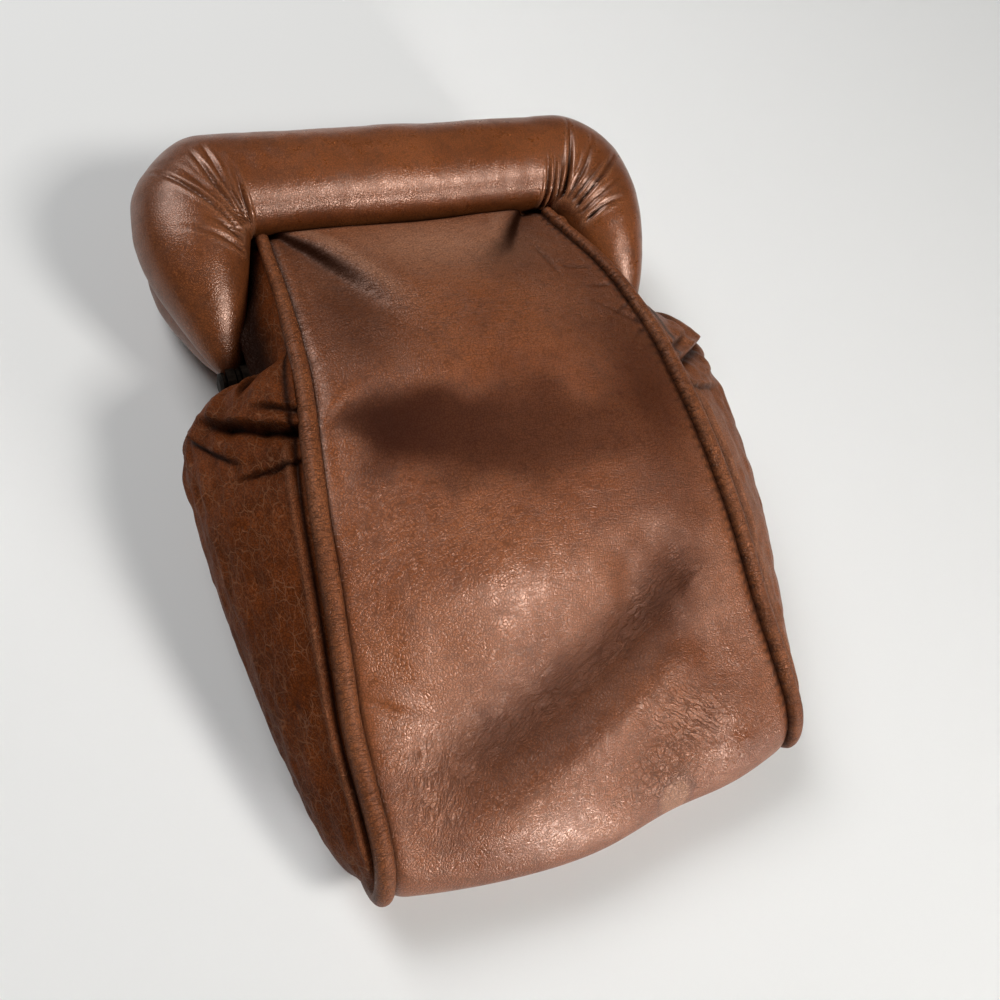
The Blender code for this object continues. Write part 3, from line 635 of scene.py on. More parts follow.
def patches(x, up, spots):
    """Several soft patches, each with its own strength, added up."""
    return sum(strength * patch(x, up, middle, size) for middle, size, strength in spots)


def pinched(lines, x, up, width):
    """Narrow grooves along lines, dying away at both ends: 1 in a groove's middle."""
    sunk = np.zeros(len(x))
    for line in lines:
        away, share = from_line(line, x, up)
        strong = ease(share / 0.1) * (1 - ease((share - 0.2) / 0.8))
        sunk = np.maximum(sunk, strong * np.exp(-(away / width) ** 2))
    return sunk


print("sections of folds, dents and creases ready")

# %% Folds from the top corners
LEFT_FOLD = [(-27, 119.5), (-23.1, 112.6), (-20.6, 107.3), (-17.8, 100.7), (-15.2, 96.1), (-10.3, 88.1)]
RIGHT_FOLD = [(24.4, 119.5), (18.4, 111.8), (14.4, 106.8), (8, 102.4), (0, 99)]
# Each top fold: its line, which side rises, its rise, drop and reach in mm, and where it starts to die out.
TOP_FOLDS = ((LEFT_FOLD, 1, 1.5, 0.9, 15.0, 0.5), (RIGHT_FOLD, -1, 1.4, 1.2, 9.0, 0.4))
FOLD_CREST, FOLD_FOOT, FOLD_OPENS = 0.55, 0.35, 2.4
UNDER_BAR_UP, UNDER_BAR_OVER, UNDER_BAR_FLATTER = 112, 6, 0.6
SHADE_REACH = 6
CREST_HIGHLIGHT_AT, CREST_HIGHLIGHT_WIDTH = 3.4, 2.2


def top_folds(x, up):
    """Lift of the folds from the top corners, in mm, the painted shade at their feet and the painted
    highlight on their crests.
    """
    lift, shade, crest = np.zeros(len(x)), np.zeros(len(x)), np.zeros(len(x))
    under_bar = 1 - UNDER_BAR_FLATTER * ease((up - UNDER_BAR_UP) / UNDER_BAR_OVER)
    for line, side, rise, drop, reach, fade_from in TOP_FOLDS:
        away, share = from_line(line, x, up)
        away = away * side
        fade = ease((1 - share) / (1 - fade_from))
        soft = FOLD_FOOT + FOLD_OPENS * share ** 2
        crest_at = FOLD_CREST + FOLD_OPENS * share
        lift += overhang(away, crest_at, soft, rise * under_bar, drop, reach) * fade
        # Painted shadow: a dark line at each fold's foot, under the raised leather.
        foot = np.exp(-((away + 0.1 - 0.6 * share) / (0.7 + 2.0 * share)) ** 2) * ease((1 - share) / 0.75)
        shade = np.maximum(shade, foot)
        # Painted shade: a dark gradient on the sunk side of each fold.
        under = 0.5 * (1 - 0.5 * share) * np.exp(-np.maximum(-away, 0) / SHADE_REACH) * (away < 0)
        shade = np.maximum(shade, ease((1 - share) / 0.3) * under)
        # Painted highlight: a pale band along each fold's crest.
        crest = np.maximum(crest, fade * np.exp(-((away - CREST_HIGHLIGHT_AT) / CREST_HIGHLIGHT_WIDTH) ** 2))
    return lift, shade, crest


print("folds from the top corners:", len(TOP_FOLDS))

# %% Trough, dents and swells
TROUGH = [(21, 35.5), (9, 29.5), (0, 26), (-8, 23.2), (-16, 20.6), (-25, 18.6), (-34, 17)]
TROUGH_DEPTH, TROUGH_GENTLE, TROUGH_STEEP, TROUGH_OPENS = 2.8, 7.0, 3.6, 2.0
BANK_HEIGHT, BANK_AT, BANK_WIDTH = 1.3, 8.0, 5.0
HIGH_DENT = [(7, 37.5), (14, 42), (25, 48)]
HIGH_DENT_DEPTH, HIGH_DENT_WIDTH = 1.2, 4.5
SIDE_CREASE = [(-35, 73), (-28, 78.9), (-23.8, 81.7), (-18.6, 84.5)]
SIDE_CREASE_RISE, SIDE_CREASE_DROP, SIDE_CREASE_REACH = 0.35, 0.9, 5.0
LOW_CREASE = [(-37, 33.3), (-32, 30.5), (-27, 28.2)]
LOW_CREASE_DEPTH, LOW_CREASE_WIDTH = 0.5, 0.7
# Patches on the front: middle and size in mm, and depth or height.
DENTS = [((-4, 67), (24, 10), 1.6)]
SWELLS = [((-12, 46), (14, 8), 0.9), ((24, 14), (10, 7), 1.0)]
UNEVEN, FINE_UNEVEN = 0.30, 0.12


def trough(x, up):
    """Lift of the long trough, in mm: a gentle side towards the upper left and a steep lower right one."""
    away, share = from_line(TROUGH, x, up)
    ends = ease(share / 0.15) * ease((1 - share) / 0.3)
    width = np.where(away < 0, TROUGH_GENTLE, TROUGH_STEEP + TROUGH_OPENS * share)
    valley = -TROUGH_DEPTH * np.exp(-(away / width) ** 2)
    return (valley + BANK_HEIGHT * np.exp(-((away - BANK_AT) / BANK_WIDTH) ** 2)) * ends


def front_folds(x, up):
    """How far the folds lift the front's leather, in mm, at places in mm."""
    lift = top_folds(x, up)[0] + trough(x, up)
    away, share = from_line(HIGH_DENT, x, up)
    ends = ease(share / 0.4) * ease((1 - share) / 0.4)
    lift -= HIGH_DENT_DEPTH * np.exp(-(away / HIGH_DENT_WIDTH) ** 2) * ends
    away, share = from_line(SIDE_CREASE, x, up)
    section = shelf(away, 0.5 + 1.5 * share, SIDE_CREASE_RISE, SIDE_CREASE_DROP, SIDE_CREASE_REACH)
    lift += section * (1 - ease((share - 0.3) / 0.7))
    away, share = from_line(LOW_CREASE, x, up)
    lift -= LOW_CREASE_DEPTH * np.exp(-(away / LOW_CREASE_WIDTH) ** 2) * (1 - share)
    lift -= patches(x, up, DENTS)
    lift += patches(x, up, SWELLS)
    lift += UNEVEN * soft_noise(x / 12, up / 9, 3) + FINE_UNEVEN * soft_noise(x / 4.5, up / 3.5, 4)
    return lift


print("the trough is", TROUGH_DEPTH, "mm deep; dents and swells:", len(DENTS + SWELLS))

# %% The wrap's sheet
WRAP_COLUMNS = 150
WRAP_ROWS = 290
BACK_FROM = BOTTOM_AT + 12 * MM
ROW_SHARES = (0, 0.34, 0.90, 1)
ROW_LENGTHS = (0, 34 * MM, BACK_FROM, RUN_LENGTH[-1])
COLUMN_CROWDING = 1.1
FOLDS_STOP, WEAR_STOP, STOP_OVER = 10 * MM, 4 * MM, 8 * MM    # before the bottom fold
SEAM_DIVE, SEAM_DIVE_WIDTH, SEAM_FADE = 1.0 * MM, 1.6 * MM, 4 * MM
MOUTH_DIVE, MOUTH_DIVE_UP, MOUTH_DIVE_OVER = 0.8 * MM, 117.4 * MM, 1.8 * MM
TURN_IN = 1.0 * MM


def wrap_places(across, along):
    """Length along the run and place across: rows crowd at the top folds, and columns at the edges."""
    length = np.interp((1 - along) / 2, ROW_SHARES, ROW_LENGTHS)
    return length, np.sin(across * COLUMN_CROWDING) / math.sin(COLUMN_CROWDING)


def wrap_lift(length, across):
    """How far the wrap's outer face stands off its run, in metres."""
    up = on_run(length)[0]
    front = 1 - ease((length - BOTTOM_AT + FOLDS_STOP) / STOP_OVER)
    seam = (1 - np.abs(across)) * half_width(up)
    lift = front_folds(half_width(up) * across / MM, up / MM) * front * ease(seam / SEAM_FADE) * MM
    lift -= SEAM_DIVE * np.exp(-(seam / SEAM_DIVE_WIDTH) ** 2)
    return lift - MOUTH_DIVE * ease((up - MOUTH_DIVE_UP) / MOUTH_DIVE_OVER) * (length < BOTTOM_AT)


def cut_size(piece, across):
    """Width, length and area of a cut, along the laid grid's rows and columns, with its seams' turn-in."""
    columns = np.unique(np.round(across, 5)).size
    grid = points_of(piece).reshape(-1, columns, 3)
    width = np.linalg.norm(np.diff(grid, axis=1), axis=2).sum(axis=1).max()
    length = np.linalg.norm(np.diff(grid, axis=0), axis=2).sum(axis=0).max()
    area = sum(face.area for face in piece.data.polygons)
    cut_width, cut_length = width + 2 * TURN_IN, length + 2 * TURN_IN
    cut_area = min(area / (width * length), 1) * cut_width * cut_length
    return cut_width, cut_length, cut_area


def finish_sheet(piece, thick, finish):
    """Gives a sheet its thickness, inwards, and its material."""
    apply_modifier(piece, "SOLIDIFY", thickness=thick, offset=-1)
    piece.data.materials.append(finish)
    bpy.ops.object.shade_smooth()
    return piece


print("the wrap's grid:", WRAP_COLUMNS, "by", WRAP_ROWS)

# %% [markdown]
# Wear makes this leather old: a dark band of stains crosses the belly, and one spot at the bottom has
# lost its dye. Painted shade darkens and dulls the hollows, the trough and the feet of the folds, and
# painted highlights lighten the folds' crests, with painted light on the tongue under the bar. Wear could
# be painted on a picture of the surface. Here each kind is a number kept at the leather's points, which the
# finish reads, so it stays with the folds that it belongs to.

# %% Stains, wear, painted shade and painted highlights
STAIN_BAND = [(-22, 72), (-4, 68), (22, 63.5)]
BAND_WIDTH, BAND_RAGGED, BAND_FADES = 8.0, 0.35, 0.45
# Patches of wear, painted shade, painted light and polish: middle and size in mm, and strength.
# The first two patches darken and dull the sunk triangle and the right side: painted shade.
SHADE_PATCHES = [((-22, 94), (8, 15), 0.6), ((27, 70), (11, 22), 0.72)]
TROUGH_SHADE = 0.68
WORN_SPOT, WORN_SIZE = (12.2, 4.4), (3.3, 2.6)
# Painted light on the tongue under the bar.
TONGUE_LIGHT = [((1, 109), (19, 9), 0.5)]
POLISHED_FOLD = [((-16, 6), (22, 4.5), 0.6), ((25, 9.5), (7, 4), 1.0)]
POLISHED_FRONT = [((-10, 43), (14, 7), 0.7), ((-31, 31), (7, 9), 1.0)]


def mark_stains_and_shade(cut, x, up, front):
    """The dark band of stains across the belly, and painted shade in the hollows, along the trough and at
    the folds' feet.
    """
    away, share = from_line(STAIN_BAND, x, up)
    ragged = 1 + BAND_RAGGED * soft_noise(x / 7, up / 5, 8)
    band = np.exp(-(away * ragged / BAND_WIDTH) ** 4) * (1 - BAND_FADES * share)
    away, share = from_line(TROUGH, x, up)
    # Painted shade: darker, duller patches and a band along the trough.
    dull = patches(x, up, SHADE_PATCHES)
    dull += TROUGH_SHADE * np.exp(-((away + 1.5) / 6.5) ** 2) * ease((1 - share) / 0.3)
    # Painted shadow at the feet of the top folds.
    feet = top_folds(x, up)[1]
    mark(cut, "stain_and_shade", np.maximum(np.maximum(0.95 * band, dull), feet) * front)


def mark_wear_and_highlights(cut, x, up, low_up, front, length):
    """The worn spot, where the dye has gone, painted highlights on the folds' crests, painted light on the
    tongue, and the polished places.
    """
    worn = patch(x, low_up, WORN_SPOT, WORN_SIZE)
    # Painted highlight on the folds' crests and painted light on the tongue; the worn spot is real wear.
    painted_light = np.maximum(0.45 * top_folds(x, up)[2], patches(x, up, TONGUE_LIGHT))
    worn_and_lit = np.maximum(0.6 * ease((worn - 0.3) / 0.25), painted_light * front)
    mark(cut, "rub_and_highlight", worn_and_lit * (length < BACK_FROM))
    shine = patches(x, low_up, POLISHED_FOLD) + patches(x, up, POLISHED_FRONT)
    mark(cut, "polish", np.minimum(shine, 1) * (length < BACK_FROM))


print("wear:", len(SHADE_PATCHES), "dull patches,", len(POLISHED_FOLD + POLISHED_FRONT), "polished ones")

# %% Painted shade in creases, and wrinkles
SMALL_CREASES = [
    [(28.5, 98.5), (23, 99.2), (18, 101)], [(30.5, 88.5), (27.5, 86.8), (25, 85)],
    [(31.8, 83), (29.5, 81.5), (27.5, 80.2)], [(29.6, 93.5), (25, 93.4), (21, 94.6)],
    [(21, 108), (20.4, 101), (20.8, 91)], [(32, 83.8), (24.5, 89.2), (20, 90.6)],
]
RIM_REACH = 8
TICK_MM = 1.9
SEAM_SHADE_MM = 1.55
BAR_SHADE_UP, BAR_SHADE_OVER = 117.1, 0.9
WEB_SPOT, WEB_SPOT_SIZE = (10, 8), (9, 6)
WRINKLED_RIGHT, WRINKLED_RIGHT_SIZE = (17, 16), (10, 7)
WRINKLED_LEFT, WRINKLED_LEFT_SIZE = (-29, 18), (8, 8)


def mark_shade_and_rim(cut, x, up, low_up, front, seam, length):
    """Painted shade at the folds' feet, along the seams, in the small creases and under the bar, and the
    dark rim of the worn spot.
    """
    along_seam = length / MM / TICK_MM + 0.3 * soft_noise(length / MM / 5, x, 9)
    ticks = np.maximum(np.sin(2 * np.pi * along_seam), 0)
    # Painted shade along the seams, with dark ticks on the right.
    seam_shade = np.exp(-(seam / ((SEAM_SHADE_MM + (0.3 + 1.3 * ticks) * (x > 0)) * MM)) ** 6)
    worn = patch(x, low_up, WORN_SPOT, WORN_SIZE)
    beside_spot = np.hypot(x - WORN_SPOT[0], low_up - WORN_SPOT[1]) < RIM_REACH
    rim = 0.35 * np.exp(-((worn - 0.28) / 0.1) ** 2) * beside_spot
    feet = top_folds(x, up)[1]
    crease_shade = np.maximum(0.95 * feet, 0.5 * pinched(SMALL_CREASES, x, up, 0.45)) + rim
    # Painted shadow under the padded bar.
    under_bar = ease((up - BAR_SHADE_UP) / BAR_SHADE_OVER)
    mark(cut, "shade_and_worn_rim", np.maximum(0.9 * seam_shade, np.maximum(crease_shade, under_bar) * front))


def mark_wrinkles(cut, x, up, low_up, front):
    """Where the fine wrinkles and the web of lines are, and how strong."""
    right_web = ease((x - 6) / 14) * ease((up - 60) / 30)
    low_web = patch(x, low_up, WEB_SPOT, WEB_SPOT_SIZE)
    mark(cut, "web", np.clip(0.6 * right_web + low_web, 0, 1) * front)
    away, share = from_line(TROUGH, x, up)
    mark(cut, "level_wrinkles", (0.15 + 0.3 * ease((up - 80) / 12)) * front)
    mark(cut, "trough_wrinkles", np.exp(-((away + 2.5) / 4.5) ** 2) * (1 - 0.6 * share) * front)
    mark(cut, "right_wrinkles", patch(x, up, WRINKLED_RIGHT, WRINKLED_RIGHT_SIZE) * front)
    mark(cut, "left_wrinkles", patch(x, up, WRINKLED_LEFT, WRINKLED_LEFT_SIZE) * front)


def mark_wear_and_painted_light(cut, x, up, front, seam, length):
    """Says where the wrap is stained, worn, polished and wrinkled, and where shade and highlights are
    painted on it; x and up are in mm.
    """
    low_up = (points_of(cut)[:, 1] + CENTRE_UP) / MM
    mark_stains_and_shade(cut, x, up, front)
    mark_wear_and_highlights(cut, x, up, low_up, front, length)
    mark_shade_and_rim(cut, x, up, low_up, front, seam, length)
    mark_wrinkles(cut, x, up, low_up, front)


print("small creases:", len(SMALL_CREASES))

# %% Lay the wrap
WRAP_THICK = 1.2 * MM
EDGE_INSET = 0.5 * MM
CREASE_DEPTH, CREASE_WIDTH = 0.6, 0.5
INSIDE = np.array([0, 0, 14 * MM])


def mould_wrap():
    """Lays the flat cut of the wrap round the pouch."""
    cut, across, along = flat_cut("wrap_leather", WRAP_COLUMNS, WRAP_ROWS)
    length, place = wrap_places(across, along)
    up = on_run(length)[0]
    x = half_width(up) * place
    front = 1 - ease((length - BOTTOM_AT + WEAR_STOP) / STOP_OVER)
    seam = (1 - np.abs(place)) * half_width(up)
    sunk = CREASE_DEPTH * pinched(SMALL_CREASES, x / MM, up / MM, CREASE_WIDTH)
    lift = wrap_lift(length, place) - sunk * front * MM
    set_points(cut, wrap_points(length, place, lift, EDGE_INSET))
    face_outwards(cut, points_of(cut) - INSIDE)
    mark_wear_and_painted_light(cut, x / MM, up / MM, front, seam, length)
    return cut, cut_size(cut, across)


SHEETS = {}
wrap, SHEETS["wrap_leather"] = mould_wrap()
finish_sheet(wrap, WRAP_THICK, BODY_LEATHER)
print("wrap:", len(wrap.data.polygons), "faces; cut", [round(v, 4) for v in SHEETS["wrap_leather"]])

# %% [markdown]
# ## Seams, gussets and wings
#
# Each side gusset is a leaf of leather between the front and the rear seam. It swells outwards, and it is
# drawn in under the hinge, so the spare leather falls in deep cross folds at the shoulder. A narrow lip
# stands up where it is turned in beside the piping. It could be blown up as cloth between its seams, but
# its folds have their own places, so it is laid point by point as the wrap is. Above the hinge the gusset
# splits in two wings, one to each half of the frame, and they are separate sheets because one of them
# moves with the frame.

# %% Seams and the gussets' form
PIPING_RADIUS = 1.6 * MM
GAP = 0.3 * MM
SEAM_SINK = 0.6 * MM
TABLE_FROM_Z = 11 * MM
TABLE_TO_Z = 2 * MM
ON_TABLE = np.clip((TABLE_FROM_Z - RUN[:, 1]) / (TABLE_FROM_Z - TABLE_TO_Z), 0, 1) * (RUN_LENGTH > BOTTOM_AT)
SEAM = RUN - RUN_OUT * (SEAM_SINK + (PIPING_RADIUS + GAP - SEAM_SINK) * ON_TABLE)[:, None]
FRONT_SEAM = SEAM[RUN_LENGTH <= BOTTOM_AT][::-1]
REAR_SEAM = SEAM[RUN_LENGTH >= BOTTOM_AT]
GUSSET_SWELL = [(7, 0.6), (9, 1.8), (15, 5.4), (30, 9.8), (45, 13.3), (60, 16.0), (72, 17.3), (80, 17.8),
                (84.5, 16.4), (87.6, 11.5), (89.6, 4.8), (91, 2.6), (98, 2.0)]
SWELL = smooth_curve(GUSSET_SWELL) * MM
GUSSET_ROUNDNESS = 0.8


def gusset_middle(up, t):
    """Points on the right gusset's middle surface; t runs from the front seam to the rear one."""
    front, rear = np.interp(up, *FRONT_SEAM.T), np.interp(up, *REAR_SEAM.T)
    swell = np.interp(up, *SWELL.T) * np.maximum(np.sin(np.pi * t), 0) ** GUSSET_ROUNDNESS
    return np.column_stack([half_width(up) + swell, up - CENTRE_UP, front + (rear - front) * t])


def gusset_outward(up, t):
    """Outward directions on the right gusset."""
    small_t, small_up = 0.01, 0.5 * MM
    along = gusset_middle(up + small_up, t) - gusset_middle(up - small_up, t)
    around = gusset_middle(up, np.minimum(t + small_t, 1)) - gusset_middle(up, np.maximum(t - small_t, 0))
    normal = np.cross(around, along)
    normal *= np.sign(normal[:, :1])
    return normal / np.linalg.norm(normal, axis=1)[:, None]


print(f"the gussets swell {SWELL[:, 1].max() / MM:.1f} mm")

# %% Folds of a gusset
SHOULDER_FOLD = [(-1, 74.6), (3.7, 77.1), (6.8, 79), (11, 81.1), (14, 82.9), (20, 85.5)]
FLAP_FOLD = [(-1, 77.2), (2, 79.4), (4.2, 80.9), (7, 82.4)]
SECOND_FOLD = [(-1, 69.9), (4.7, 70.4), (8.9, 71), (13, 71.5)]
CHEEK_FOLD = [(19, 81.5), (13.5, 76.9), (10.3, 74.3), (7, 72.5)]
HINGE_FOLD = [(9.5, 92), (8.6, 87), (8, 83)]
# Each fold of a gusset: its line, which side rises, its rise and its drop in mm.
GUSSET_FOLDS = ((SHOULDER_FOLD, 1, 1.3, 2.6), (FLAP_FOLD, 1, 0.5, 1.1), (SECOND_FOLD, 1, 0.4, 0.9),
                (CHEEK_FOLD, -1, 0.4, 1.0), (HINGE_FOLD, 1, 0.6, 1.2))
FOLD_SOFT, FOLD_REACH = 0.25, 2.6
LIP_AT, LIP_WIDTH, LIP_HEIGHT = 2.4, 0.45, 0.5
GROOVE_AT, GROOVE_WIDTH, GROOVE_DEPTH = 1.5, 0.35, 0.5
GROOVE_SHADE_AT, GROOVE_SHADE_WIDTH = 1.4, 0.42
CRINKLE, SHOULDER_CRINKLE = 0.28, 0.30


def gusset_lift(up, t, seed):
    """Folds, lip and crinkles of a gusset, in metres, the painted shade in its seam groove and at its folds'
    feet, and the lip.
    """
    depth = np.interp(up, *FRONT_SEAM.T) - np.interp(up, *REAR_SEAM.T)
    arc = depth + 1.2 * np.interp(up, *SWELL.T)
    round_mm, up_mm = t * arc / MM, up / MM
    beside_seam = ease((up_mm - 8) / 8) * ease((76 - up_mm) / 6)
    lip = np.exp(-((round_mm - LIP_AT) / LIP_WIDTH) ** 2) * beside_seam
    groove = np.exp(-((round_mm - GROOVE_AT) / GROOVE_WIDTH) ** 2)
    lift = LIP_HEIGHT * lip - GROOVE_DEPTH * groove * beside_seam
    # Painted shade in the groove beside the piping, and below at the feet of the folds.
    dark = np.exp(-((round_mm - GROOVE_SHADE_AT) / GROOVE_SHADE_WIDTH) ** 2)
    for line, turn, high, low in GUSSET_FOLDS:
        away, share = from_line(line, round_mm, up_mm)
        away = away * turn
        fade = 1 - ease((share - 0.55) / 0.45)
        lift += shelf(away, FOLD_SOFT, high, low, FOLD_REACH) * fade
        dark = np.maximum(dark, fade * np.exp(-((away + 0.25 * low) / (0.2 + 0.25 * low)) ** 2))
    long_folds = soft_noise(round_mm / 2.6, up_mm / 5.5, seed)
    crinkle = long_folds + 0.6 * soft_noise(round_mm / 1.3, up_mm / 2.4, seed + 1)
    slack = ease(round_mm / 3) * ease((arc / MM - round_mm) / 3)
    lift += (CRINKLE + SHOULDER_CRINKLE * ease((up_mm - 60) / 20)) * crinkle * slack
    return lift * MM, dark, lip


print("folds of a gusset:", len(GUSSET_FOLDS))

# %% Lay the gussets
GUSSET_LEATHER_THICK = 1.2 * MM
GUSSET_GRID = (120, 200)
GUSSET_FROM_UP, GUSSET_LONG = 7.4, 90
OFF_TABLE = 0.1 * MM
SEEDS = {"left": 11, "right": 23}
SIDES = (("left", -1), ("right", 1))


def gusset_lean(up, t, side):
    """How far a gusset leans: the left one only at its seams, since its swollen part lies on the table."""
    return lean(up, side) * (1 - np.sin(np.pi * t) * (side < 0))


def gusset_t(across):
    """Places round a gusset, closer together near the front seam, where the lip is."""
    share = (across + 1) / 2
    return 0.012 + 0.976 * (0.4 * share + 0.6 * share ** 2)


def mould_gusset(label, side, seed):
    """Lays one gusset between its seams."""
    cut, across, along = flat_cut(f"gusset_{label}_leather", *GUSSET_GRID)
    up = (GUSSET_FROM_UP + GUSSET_LONG * (along + 1) / 2) * MM
    t = gusset_t(across)
    lift, dark, lip = gusset_lift(up, t, seed)
    points = gusset_middle(up, t) + gusset_outward(up, t) * (lift + GUSSET_LEATHER_THICK / 2)[:, None]
    points[:, 2] = np.maximum(points[:, 2], OFF_TABLE)
    points[:, 0] = side * points[:, 0] + gusset_lean(up, t, side)
    set_points(cut, points)
    face_outwards(cut, gusset_outward(up, t) * (side, 1, 1))
    # Painted shade in the gusset's groove and folds.
    mark(cut, "shade_and_worn_rim", 0.95 * dark)
    # Painted highlight along the lip.
    mark(cut, "rub_and_highlight", 0.12 * lip)
    return cut, cut_size(cut, across)


gussets = {}
for label, side in SIDES:
    gusset, SHEETS[f"gusset_{label}_leather"] = mould_gusset(label, side, SEEDS[label])
    # Painted shade and painted light: the left gusset takes the darker copy, the right one the paler copy.
    finish = SHADED_GUSSET_LEATHER if side < 0 else LIT_GUSSET_LEATHER
    gussets[label] = finish_sheet(gusset, GUSSET_LEATHER_THICK, finish)
print("gussets:", [len(g.data.polygons) for g in gussets.values()], "faces")

# %% The wings
FRAME_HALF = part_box("front_roll_cover")[1].x
ROLL_WIDTH = 18.6 * MM
OUTER_CORNER = 13.4 * MM
INNER_CORNER = 1.8 * MM
MID_Z = 15 * MM
TIP_UP = 98.5 * MM
TIP_WIDTH = 7.2 * MM
ARM_TAPER = 2.2
STRIP_X = 40.7 * MM
REAR_TUCK = 2.6 * MM
WING_THICK = 0.9 * MM
WING_GRID = (28, 44)
FRONT_WING_UP, REAR_WING_UP, WING_TOP_UP = 89.5, 95.6, 116.1
WING_TUCK = 1.2 * MM
WING_LIFT = 5.5 * MM
WING_HANG, WING_UNEVEN = 1.6, 0.35
WING_LEAST_Z = 0.2 * MM


def arm_edges(share, tuck):
    """Inner and outer edge of a padded arm in plan, from its tip (0) up to the corner (1)."""
    strip_x = STRIP_X - tuck
    inner_full, outer_full = FRAME_HALF - ROLL_WIDTH, FRAME_HALF - tuck
    inner_tip, outer_tip = strip_x - TIP_WIDTH / 2, strip_x + TIP_WIDTH / 2
    inner_x = inner_full + (inner_tip - inner_full) * (1 - share)
    outer_x = outer_full + (outer_tip - outer_full) * np.maximum(1 - share, 0) ** ARM_TAPER
    inner_up = TIP_UP + share * (FRAME_TOP - ROLL_WIDTH - INNER_CORNER - TIP_UP)
    outer_up = TIP_UP + share * (FRAME_TOP - OUTER_CORNER - TIP_UP)
    return np.column_stack([inner_x, inner_up]), np.column_stack([outer_x, outer_up])


def mould_wing(label, side, face):
    """Lays one wing from the piping across to a half of the frame."""
    half = "front" if face > 0 else "rear"
    cut, across, along = flat_cut(f"wing_{label}_{half}_leather", *WING_GRID)
    tuck = 0 if face > 0 else REAR_TUCK
    low = FRONT_WING_UP if face > 0 else REAR_WING_UP
    up = (low + (WING_TOP_UP - low) * (along + 1) / 2) * MM
    t = (across + 1) / 2
    share = np.clip((up - TIP_UP) / (FRAME_TOP - ROLL_WIDTH - INNER_CORNER - TIP_UP), 0, 1)
    inner = arm_edges(share, tuck)[0]
    seam = FRONT_SEAM if face > 0 else REAR_SEAM
    start_x, start_z = half_width(up), np.interp(up, *seam.T)
    end_x, end_z = inner[:, 0] + WING_TUCK, MID_Z + face * WING_LIFT
    between_ends = np.sin(np.pi * t)
    uneven = WING_UNEVEN * soft_noise(t * 4, up / MM / 4, 31 + face) * between_ends
    hang = -WING_HANG * between_ends + uneven
    x = start_x + (end_x - start_x) * t + hang * 0.35 * MM
    z = start_z + (end_z - start_z) * t + face * hang * 0.6 * MM
    set_points(cut, np.column_stack([side * x, up - CENTRE_UP, np.maximum(z, WING_LEAST_Z)]))
    face_outwards(cut, np.tile((side * 0.6, 0, face * 0.8), (len(t), 1)))
    # Painted shade: the wing darkens towards the arm, where it lies under the roll.
    mark(cut, "shade_and_worn_rim", 0.95 * ease((t - 0.25) / 0.5))
    SHEETS[cut.name] = cut_size(cut, across)
    return finish_sheet(cut, WING_THICK, SHADED_GUSSET_LEATHER)


wings = {(label, face): mould_wing(label, side, face) for label, side in SIDES for face in (1, -1)}
print("wings:", sorted(w.name for w in wings.values()))

# %% [markdown]
# ## Piping
#
# A cord with leather sewn round it lies in each side seam, from the mouth down the front, under the fold
# and up the back. A curve with a bevel would give a plain tube. A grid rolled round the seam's line gives
# the same tube with room for the small puckers that the stitching pulls into it.

# %% The piping
PIPING_END_UP = 117.6 * MM
PIPING_TOP_SHARE = 0.74
TAB_UP = 113.6 * MM
TAB_LONG, TAB_SHARE = 0.9 * MM, 0.35
PIPING_SIDES = 20
PIPING_ROWS = 760
SLIM_FROM_UP, SLIM_OVER = 72 * MM, 44 * MM
PUCKER_MM = 1.1
PUCKERS = {"left": 0.05, "right": 0.26}
PIPING_LEAST_Z = 0.05 * MM


def close_tube(piece):
    """Joins a rolled-up grid's long edges and closes its two ends."""
    def close_ends():
        bpy.ops.mesh.remove_doubles(threshold=1e-6)
        bpy.ops.mesh.select_all(action="DESELECT")
        bpy.ops.mesh.select_non_manifold(extend=False, use_wire=False, use_multi_face=False,
                                         use_non_contiguous=False, use_verts=False)
        bpy.ops.mesh.edge_face_add()
        bpy.ops.mesh.select_all(action="SELECT")
        bpy.ops.mesh.normals_make_consistent(inside=False)
    in_edit_mode(piece, close_ends)


